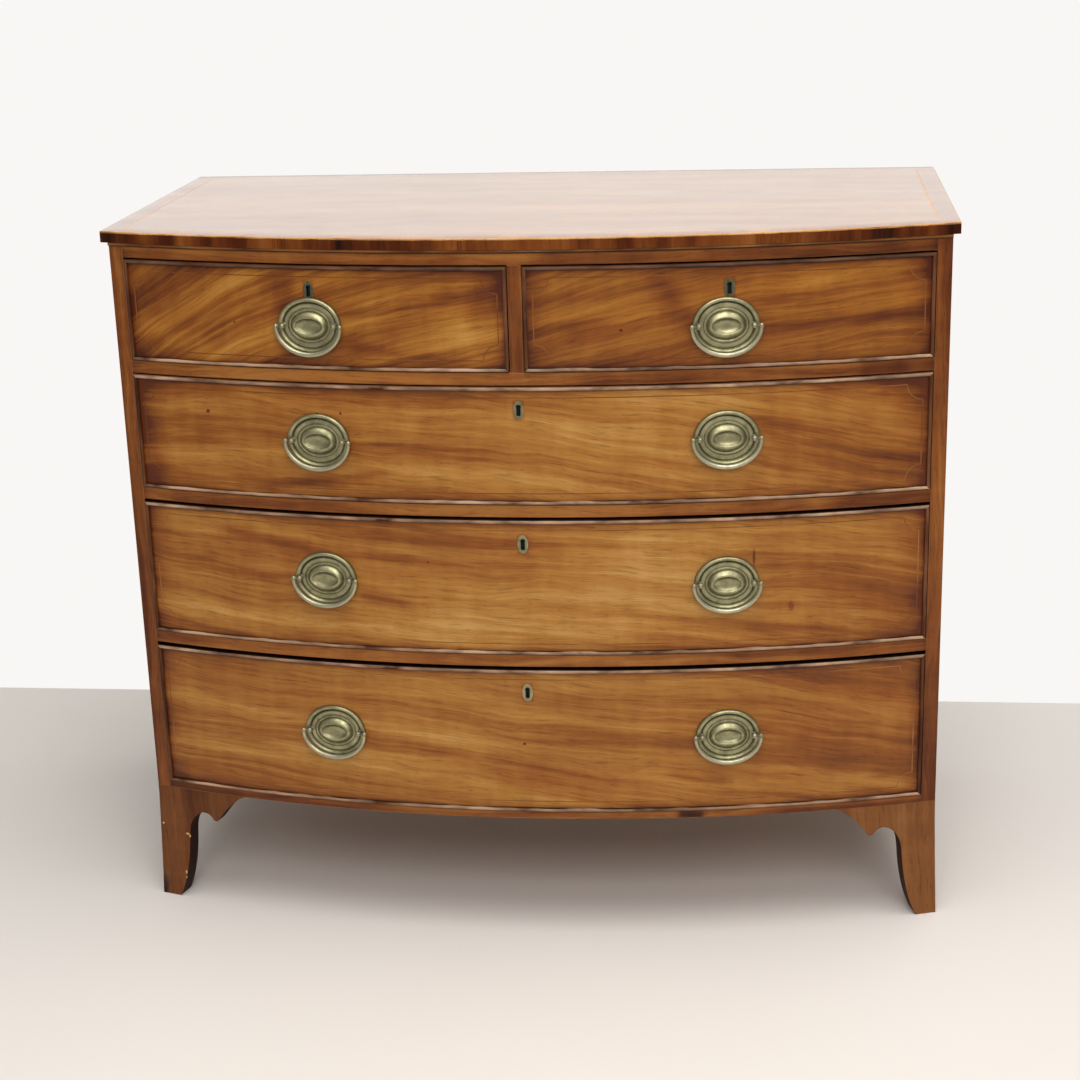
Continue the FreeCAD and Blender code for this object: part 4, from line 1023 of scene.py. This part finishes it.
def add_nut(build, placement):
    """The square nut inside the drawer, with softened edges."""
    rings = []
    for depth, half in ((0.0, 4.2), (0.3, 4.5), (3.2, 4.5), (3.5, 4.1)):
        corners = [(x * half, NUT_SEAT + depth, z * half) for x, z in ((-1, -1), (1, -1), (1, 1), (-1, 1))]
        rings.append([build.point(placement @ Vector(corner), grime=0.7) for corner in corners])
    build.loft(rings)


# Keyhole: radius of its round, half width of the slot under it, and half height of both
KEY_BOW = 2.9
KEY_SLOT = 2.5
KEY_HALF = 7.0


def add_escutcheon(build, name):
    """The keyhole plate let into the front: a flat oval, with the keyhole's passage behind, whose walls and
    closing faces are coloured black as painted shade.
    """
    placement = on_bow(*key_place(name))
    stale = DRAWERS[name].key_grime
    rings = [[] for _ in range(9)]
    for turn in turns(64):
        oval = Vector((KEY_OVAL[0] / 2 * cos(turn), 0, KEY_OVAL[1] / 2 * sin(turn)))
        hole = keyhole_edge(turn)
        lip = hole + (oval - hole).normalized() * 0.3
        # Faces given 2.2 come out black: the keyhole's walls and the faces closing it, painted shade
        sections = ((oval * 0.75, 5.4, 2.2), (oval * 0.75, 1.5, 2.2), (oval, 1.38, 1.0),
                    (oval, -0.18, max(0.7, stale)), (oval * 0.95, -0.26, stale),
                    (lip, -0.26, max(0.4, stale)), (hole * 0.98, -0.16, 2.2), (hole * 0.97, 4.9, 2.2),
                    (hole * 0.9, 5.0, 2.2))
        for ring, (place, depth, grime) in zip(rings, sections):
            ring.append(build.point(placement @ (place + Vector((0, depth, 0))), grime=grime))
    build.loft(rings, caps=False)
    build.face(rings[0])
    build.face(rings[-1])


def keyhole_edge(turn):
    """Edge of the keyhole in this direction from its middle: a round over a slot."""
    direction = Vector((cos(turn), 0, sin(turn)))
    reach = 0.0
    inside = True
    while inside:
        reach += 0.02
        x, z = reach * direction.x, reach * direction.z
        in_bow = hypot(x, z - (KEY_HALF - KEY_BOW)) < KEY_BOW
        inside = in_bow or (abs(x) < KEY_SLOT and -KEY_HALF < z < KEY_HALF - KEY_BOW)
    return direction * reach


def make_brasses(name, material, places):
    """Everything of a drawer's brass that doesn't swing: plates, posts, nuts and keyhole plate."""
    build = Build()
    for handle in DRAWERS[name].handles:
        placement = on_bow(*places[handle])
        add_plate(build, placement)
        for side in (-1, 1):
            shifted = placement @ Matrix.Translation((side * POST_SPACING / 2, 0, 0))
            add_turned(build, shifted, post_profile())
            add_nut(build, shifted)
    add_escutcheon(build, name)
    build.piece("brasses_" + name, [material], "drawer_" + name, "brass",
                ["handle_plates_" + name], sharp=50.0)


BAIL_STATIONS = 72
BAIL_END_RADIUS = 2.2
BAIL_MIDDLE_RADIUS = 3.1
ROD_SPOKES = 20


def make_bail(handle, material, places):
    """The swinging half-oval: a rod that thickens to the middle, with a knob on each end."""
    placement = on_bow(*places[handle])
    build = Build()
    half = BAIL_WIDTH / 2
    rings = []
    for index in range(BAIL_STATIONS + 1):
        turn = pi * index / BAIL_STATIONS
        centre = Vector((half * cos(turn), -PIVOT_OUT, -BAIL_DROP * sin(turn)))
        along = Vector((-half * sin(turn), 0, -BAIL_DROP * cos(turn))).normalized()
        radius = BAIL_END_RADIUS + (BAIL_MIDDLE_RADIUS - BAIL_END_RADIUS) * sin(turn)
        out = Vector((0, -1, 0))
        side = along.cross(out)
        ring = []
        for angle in turns(ROD_SPOKES):
            place = centre + radius * (cos(angle) * out + sin(angle) * side)
            grime = 0.05 + 0.6 * smoothstep(0.2, -0.9, cos(angle))
            ring.append(build.point(placement @ place, (place.x, place.z), grime=grime, bare=0.35))
        rings.append(ring)
    build.loft(rings)
    for side in (-1, 1):
        add_knob(build, placement @ Matrix.Translation((side * half, -PIVOT_OUT, 0)), side)
    build.piece("drop_" + handle, [material], "bail_" + handle, "brass",
                ["bail_" + handle], sharp=60.0)


KNOB_RADIUS = 3.2
PIN_RADIUS = 1.4
PIN_REACH = 7.5


def add_knob(build, placement, side):
    """The ball on the end of a bail, with the pin that turns in the post."""
    turned = placement @ Matrix.Rotation(side * pi / 2, 4, "Z")
    profile = [(-PIN_REACH, PIN_RADIUS, 0.8, 0.0), (-3.0, PIN_RADIUS, 0.8, 0.0)]
    for index in range(9):
        turn = radians(26 + 146 * index / 8)
        profile.append((-KNOB_RADIUS * cos(turn), KNOB_RADIUS * sin(turn), 0.35, 0.2))
    add_turned(build, turned, profile, 20)


# Black for the keyhole's passage and the faces closing it: painted shade
KEYHOLE_SHADE_BLACK = (0.002, 0.0015, 0.001)


def brass(name, bright, dull, dark, bare):
    """Old lacquered brass: worn bright on its high places, grimed in its hollows; its dark mask also
    carries painted shade on the plates' downward walls and the black of the keyhole's passage.
    """
    graph = Graph(bpy.data.materials.new(name))
    place = graph.add("TexCoord").outputs["Object"]
    cloud = graph.noise(place, 90.0, 90.0, 4.0, 0.6)
    speck = graph.noise(place, 420.0, 420.0, 3.0, 0.6)
    grime = graph.mask("grime")
    colour = graph.mix(graph.spread(cloud, 0.35, 0.7), rgba(bright), rgba(dull))
    colour = graph.mix(graph.mask("bare"), colour, rgba(bare))
    uneven = graph.math("MULTIPLY", graph.math("SUBTRACT", speck, 0.5), 0.5)
    depth = graph.spread(graph.math("ADD", grime, uneven), 0.15, 1.1)
    colour = graph.mix(depth, colour, rgba(dark))
    # Black for the keyhole's passage: painted shade
    colour = graph.mix(graph.spread(grime, 1.15, 1.8), colour, rgba(KEYHOLE_SHADE_BLACK))
    rough = graph.spread(cloud, 0.3, 0.7, 0.36, 0.54)
    graph.set(Base_Color=colour, Metallic=graph.spread(grime, 0.6, 1.3, 1.0, 0.2),
              Roughness=graph.math("ADD", rough, graph.math("MULTIPLY", depth, 0.25)))
    graph.bump(graph.math("ADD", cloud, graph.math("MULTIPLY", speck, 0.3)), 0.12, 0.0004)
    return graph.owner


# ---- top board

TOP_BAND = 24.0  # width of the crossbanded border
TOP_LINE = 1.6  # the line between border and field
TOP_ARRIS = 1.0
EDGE_SECTION = 120.0  # length of each piece of banding along the edge

# The top's rounded upper edge: how far down, how far out, and how worn
ARRIS_SECTION = ((0.1, 0.45, 0.0), (0.35, 0.8, 0.0), (1.5, TOP_ARRIS, 1.0), (2.6, TOP_ARRIS, 0.0))


def top_front(x, inset):
    """y of the top's bowed edge, taken in by inset."""
    return BOW_AXIS_Y - sqrt((TOP_RADIUS - inset) ** 2 - x * x)


def top_rows(x, inset):
    """y places from front to back for one line across the top."""
    start, end = top_front(x, inset), TOP_DEPTH / 2 - inset
    marks = [start, start + TOP_BAND, start + TOP_BAND + TOP_LINE]
    inner_end = end - TOP_BAND - TOP_LINE
    marks += [marks[-1] + (inner_end - marks[-1]) * i / 24 for i in range(1, 25)]
    return marks + [end - TOP_BAND, end]


FIELD, BORDER, EDGE, BRIGHT = range(4)


def lay_top(build, xs, grid):
    """The flat of the top: long grain inside a bright line and a crossbanded border."""
    reach = -xs[0]
    last = len(grid[0]) - 1
    for x, next_x, column, following in zip(xs, xs[1:], grid, grid[1:]):
        middle = abs(x + next_x) / 2
        for row in range(last):
            corners = (column[row], following[row], following[row + 1], column[row + 1])
            places = [build.points[number] for number in corners]
            if middle > reach - TOP_BAND:
                build.face(corners, BORDER, [(p.x, p.y + 900) for p in places])
            elif row in (0, last - 1):
                build.face(corners, BORDER, [(p.y, p.x + 400) for p in places])
            else:
                line = middle > reach - TOP_BAND - TOP_LINE or row in (1, last - 2)
                build.face(corners, BRIGHT if line else FIELD)


def make_top(materials):
    """The top: its flat, a light rounded arris, a banded edge and its underside."""
    build = Build()
    low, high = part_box("top_board")
    z0, z1 = low.z / MM, high.z / MM
    reach = TOP_WIDTH / 2 - TOP_ARRIS
    lines = [-reach + TOP_BAND, -reach + TOP_BAND + TOP_LINE, reach - TOP_BAND - TOP_LINE, reach - TOP_BAND]
    xs = steps(-reach, reach, 12.0, lines)
    grid = [[build.point((x, y, z1), (x, y)) for y in top_rows(x, TOP_ARRIS)] for x in xs]
    lay_top(build, xs, grid)
    loop = [column[0] for column in grid] + grid[-1][1:]
    loop += [column[-1] for column in reversed(grid[:-1])] + list(reversed(grid[0][1:-1]))
    rings = [loop]
    for drop, grow, worn in (*ARRIS_SECTION, (z1 - z0, TOP_ARRIS, 0.0)):
        rings.append(top_rim(build, xs, TOP_ARRIS - grow, z1 - drop, worn))
    for number, (upper, lower) in enumerate(zip(rings, rings[1:])):
        build.wall(upper, lower, BRIGHT if number < 3 else EDGE)
    build.face(rings[-1], FIELD)
    build.piece("top_veneered", materials, "carcase", "mahogany", ["top_board"], sharp=30.0)


# Blotches of the top's front edge: x, half width, and how much darker or lighter
EDGE_BLOTCHES = [(-517, 9, -0.6), (-425, 12, -0.2), (-395, 30, 0.22), (-140, 40, -0.4),
                 (-355, 34, -0.2), (-290, 14, 0.25), (-205, 10, -0.35), (-120, 40, 0.2), (40, 60, 0.12),
                 (180, 40, -0.08), (300, 30, 0.1), (430, 24, -0.3), (519, 6, -0.9)]


def top_rim(build, xs, inset, z, worn):
    """A ring of points round the top's edge at height z, taken in by inset."""
    scale = (TOP_WIDTH / 2 - inset) / (TOP_WIDTH / 2 - TOP_ARRIS)
    xs = [x * scale for x in xs]
    front = [(x, top_front(x, inset)) for x in xs]
    side = top_rows(xs[-1], inset)[1:]
    back = TOP_DEPTH / 2 - inset
    outline = front + [(xs[-1], y) for y in side] + [(x, back) for x in reversed(xs[:-1])]
    outline += [(xs[0], y) for y in reversed(side[:-1])]
    ring = []
    run = 0.0
    for index, (x, y) in enumerate(outline):
        if index:
            run += hypot(x - outline[index - 1][0], y - outline[index - 1][1])
        section = (run / EDGE_SECTION + 0.3 * wander(run, 0.0, 150.0, 2.0)) // 1
        tone = 0.2 * wander(7.0 * section, 3.0, 5.0, 1.0) + 0.3 * wander(run, 0.0, 26.0, 6.0)
        blotches = 0.0
        if y < TOP_DEPTH / 2 - BOW_RISE:
            for at, width, strength in EDGE_BLOTCHES:
                blotches += strength * exp(-((x - at) / width) ** 2)
        wear_and_highlight_share = worn * (0.85 + 0.7 * wander(run, 0.0, 45.0, 4.0))
        ring.append(build.point((x, y, z), (z, run + 260.0 * section), shade=tone + blotches,
                                worn=max(0.0, wear_and_highlight_share)))
    return ring


def make_top_moulding(material):
    """The small bead under the front of the top, with a painted highlight along its upper nose and painted
    shade along its lower nose.
    """
    build = Build()
    low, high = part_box("top_moulding")
    z0, z1 = low.z / MM, high.z / MM
    proud = BOW_AXIS_Y - CASE_RADIUS - low.y / MM
    outline = [(z0, 0.0), *((z0 + up, out) for up, out in nose(z1 - z0, proud)), (z1, 0.0)]
    rings = []
    for x in steps(low.x / MM, high.x / MM, 6.0):
        tone = 0.3 * wander(x, 0.0, 70.0, 8.0)
        worn = 0.5 + 0.7 * wander(x, 0.0, 50.0, 3.0)
        ring = []
        for z, out in outline:
            # The upper nose is paled as a painted highlight and the lower nose darkened as painted shade
            rise = smoothstep(0.25, 0.6, (z - z0) / (z1 - z0))
            ring.append(build.point(bow_point(x, z, out), (x, z), shade=tone - 0.45 * (1 - rise),
                                    worn=max(0.0, worn) * rise if out > 0 else 0.0))
        rings.append(ring)
    build.loft(rings)
    build.piece("bead_under_top", [material], "carcase", "bead", ["top_moulding"], sharp=50.0)


# ---- everything


def make_fronts():
    places = handle_places()
    for name, drawer in DRAWERS.items():
        leaf = wood("veneer_" + name, drawer.tones, figure=drawer.figure)
        make_veneer(name, leaf)
        make_marks(name, leaf)
        make_stringing(name, BOXWOOD)
        make_beads(name, BEAD_WOOD)
        make_brasses(name, BRASS, places)
        for handle in drawer.handles:
            make_bail(handle, BRASS, places)


# CAD pieces that are finished again with soft edges, and the way their grain runs
DRESSED = {
    "top_rail": "x", "dividing_rails": "x", "bottom_rail": "x", "centre_divider": "z",
    "front_stiles": "z", "side_left": "z", "side_right": "z", "foot_front_left": "z",
    "foot_front_right": "z", "foot_back_left": "z", "foot_back_right": "z",
}


def finish_cad_nodes():
    """Give every CAD piece that still shows its finish."""
    finishes = {"drawer_box": OAK, "drawer_bottom": OAK, "drawer_runners": PINE, "dustboards": PINE,
                "bottom_board": PINE, "back_boards": BACK_PINE, "lock": LOCK_BRASS, "bolt": LOCK_BRASS}
    for name, node in NODES.items():
        if node.hide_render:
            continue
        material = CASE_WOOD
        for start, finish in finishes.items():
            if name.startswith(start):
                material = finish
        node.data.materials.clear()
        node.data.materials.append(material)


make_camera()
make_world()
for lamp in LAMPS:
    make_lamp(*lamp)
make_floor()

# The pale rubbed colours of the beads and of the moulding under the top are wear together with a painted
# highlight
BEAD_WOOD = wood("bead_wood", palette((24, 12, 7), (62, 34, 20), (100, 62, 40), (134, 92, 66)),
                 worn=srgb(186, 152, 124), roughness=(0.4, 0.52), coat=0.0, gloss=0.12, flecks=0.2)
MOULDING_WOOD = wood("moulding_wood", palette((50, 22, 8), (112, 62, 24), (160, 104, 48), (190, 138, 76)),
                     worn=srgb(196, 146, 84), coat=0.05, gloss=0.2, flecks=0.2)
CASE_WOOD = wood("case_mahogany", CASE_TONES, figure=0.9, streaks=(1.7, 40.0), coat=0.05, gloss=0.18)
CASE_WORN = wood("case_mahogany_worn",
                 palette((84, 40, 16), (130, 78, 38), (164, 112, 64), (190, 142, 92)), gloss=0.18)
FOOT_WOOD = wood("foot_mahogany", FOOT_TONES, figure=0.55, streaks=(1.7, 26.0), coat=0.0, gloss=0.15)
# Near-black wood for the inward faces of the feet: painted shade
FOOT_INNER_SHADE = wood("foot_inner_shade", palette((16, 7, 4), (34, 15, 8), (52, 26, 14), (70, 38, 22)),
                 figure=0.6, coat=0.0, gloss=0.1, roughness=(0.5, 0.65))
TOP_GLOSS = {"roughness": (0.16, 0.26), "coat": 1.0, "gloss": 0.5, "figure": 0.7}
TOP_FIELD = wood("top_field", palette((112, 62, 26), (152, 98, 48), (180, 128, 74), (198, 154, 102)),
                 streaks=(1.2, 16.0), **TOP_GLOSS)
TOP_BORDER = wood("top_border", palette((98, 52, 22), (138, 84, 42), (166, 112, 66), (188, 140, 92)),
                  streaks=(1.2, 22.0), **TOP_GLOSS)
TOP_EDGE = wood("top_edge", palette((30, 8, 1), (80, 33, 7), (120, 64, 22), (150, 94, 44)),
                streaks=(3.0, 30.0), lines=(7.0, 90.0), figure=0.5, coat=0.0, gloss=0.12,
                worn=srgb(214, 164, 104))
ARRIS = wood("top_arris", palette((160, 98, 46), (196, 140, 78), (218, 170, 110), (228, 190, 136)),
             figure=0.5)
BOXWOOD = wood("boxwood_line",
               palette((104, 54, 16), (136, 82, 30), (158, 106, 48), (176, 126, 66)),
               figure=0.3, streaks=(20.0, 40.0), flecks=0.1)
PINE = wood("pine", palette((96, 62, 34), (140, 100, 60), (170, 130, 86), (190, 152, 108)),
            along="x", figure=0.7, coat=0.0, roughness=(0.62, 0.78), flecks=0.15)
BACK_PINE = wood("back_pine", palette((84, 58, 38), (124, 92, 62), (152, 118, 84), (172, 140, 106)),
                 along="x", figure=0.8, coat=0.0, roughness=(0.65, 0.8), flecks=0.2)
OAK = wood("oak", palette((104, 76, 46), (148, 116, 76), (174, 142, 100), (192, 164, 122)),
           along="y", figure=0.6, coat=0.0, roughness=(0.55, 0.7), flecks=0.5)
BRASS = brass("old_brass", srgb(178, 172, 134), srgb(140, 136, 104), srgb(48, 45, 28), srgb(208, 204, 186))
LOCK_BRASS = brass("lock_brass", srgb(176, 160, 110), srgb(132, 120, 80), srgb(52, 46, 30),
                   srgb(190, 180, 150))

make_fronts()
make_facings(CASE_WOOD)
make_top([TOP_FIELD, TOP_BORDER, TOP_EDGE, ARRIS])
make_top_moulding(MOULDING_WOOD)
for node, along in DRESSED.items():
    dressed(node, along)
make_chips(ARRIS)
finish_cad_nodes()

bpy.context.scene.view_settings.view_transform = "Standard"
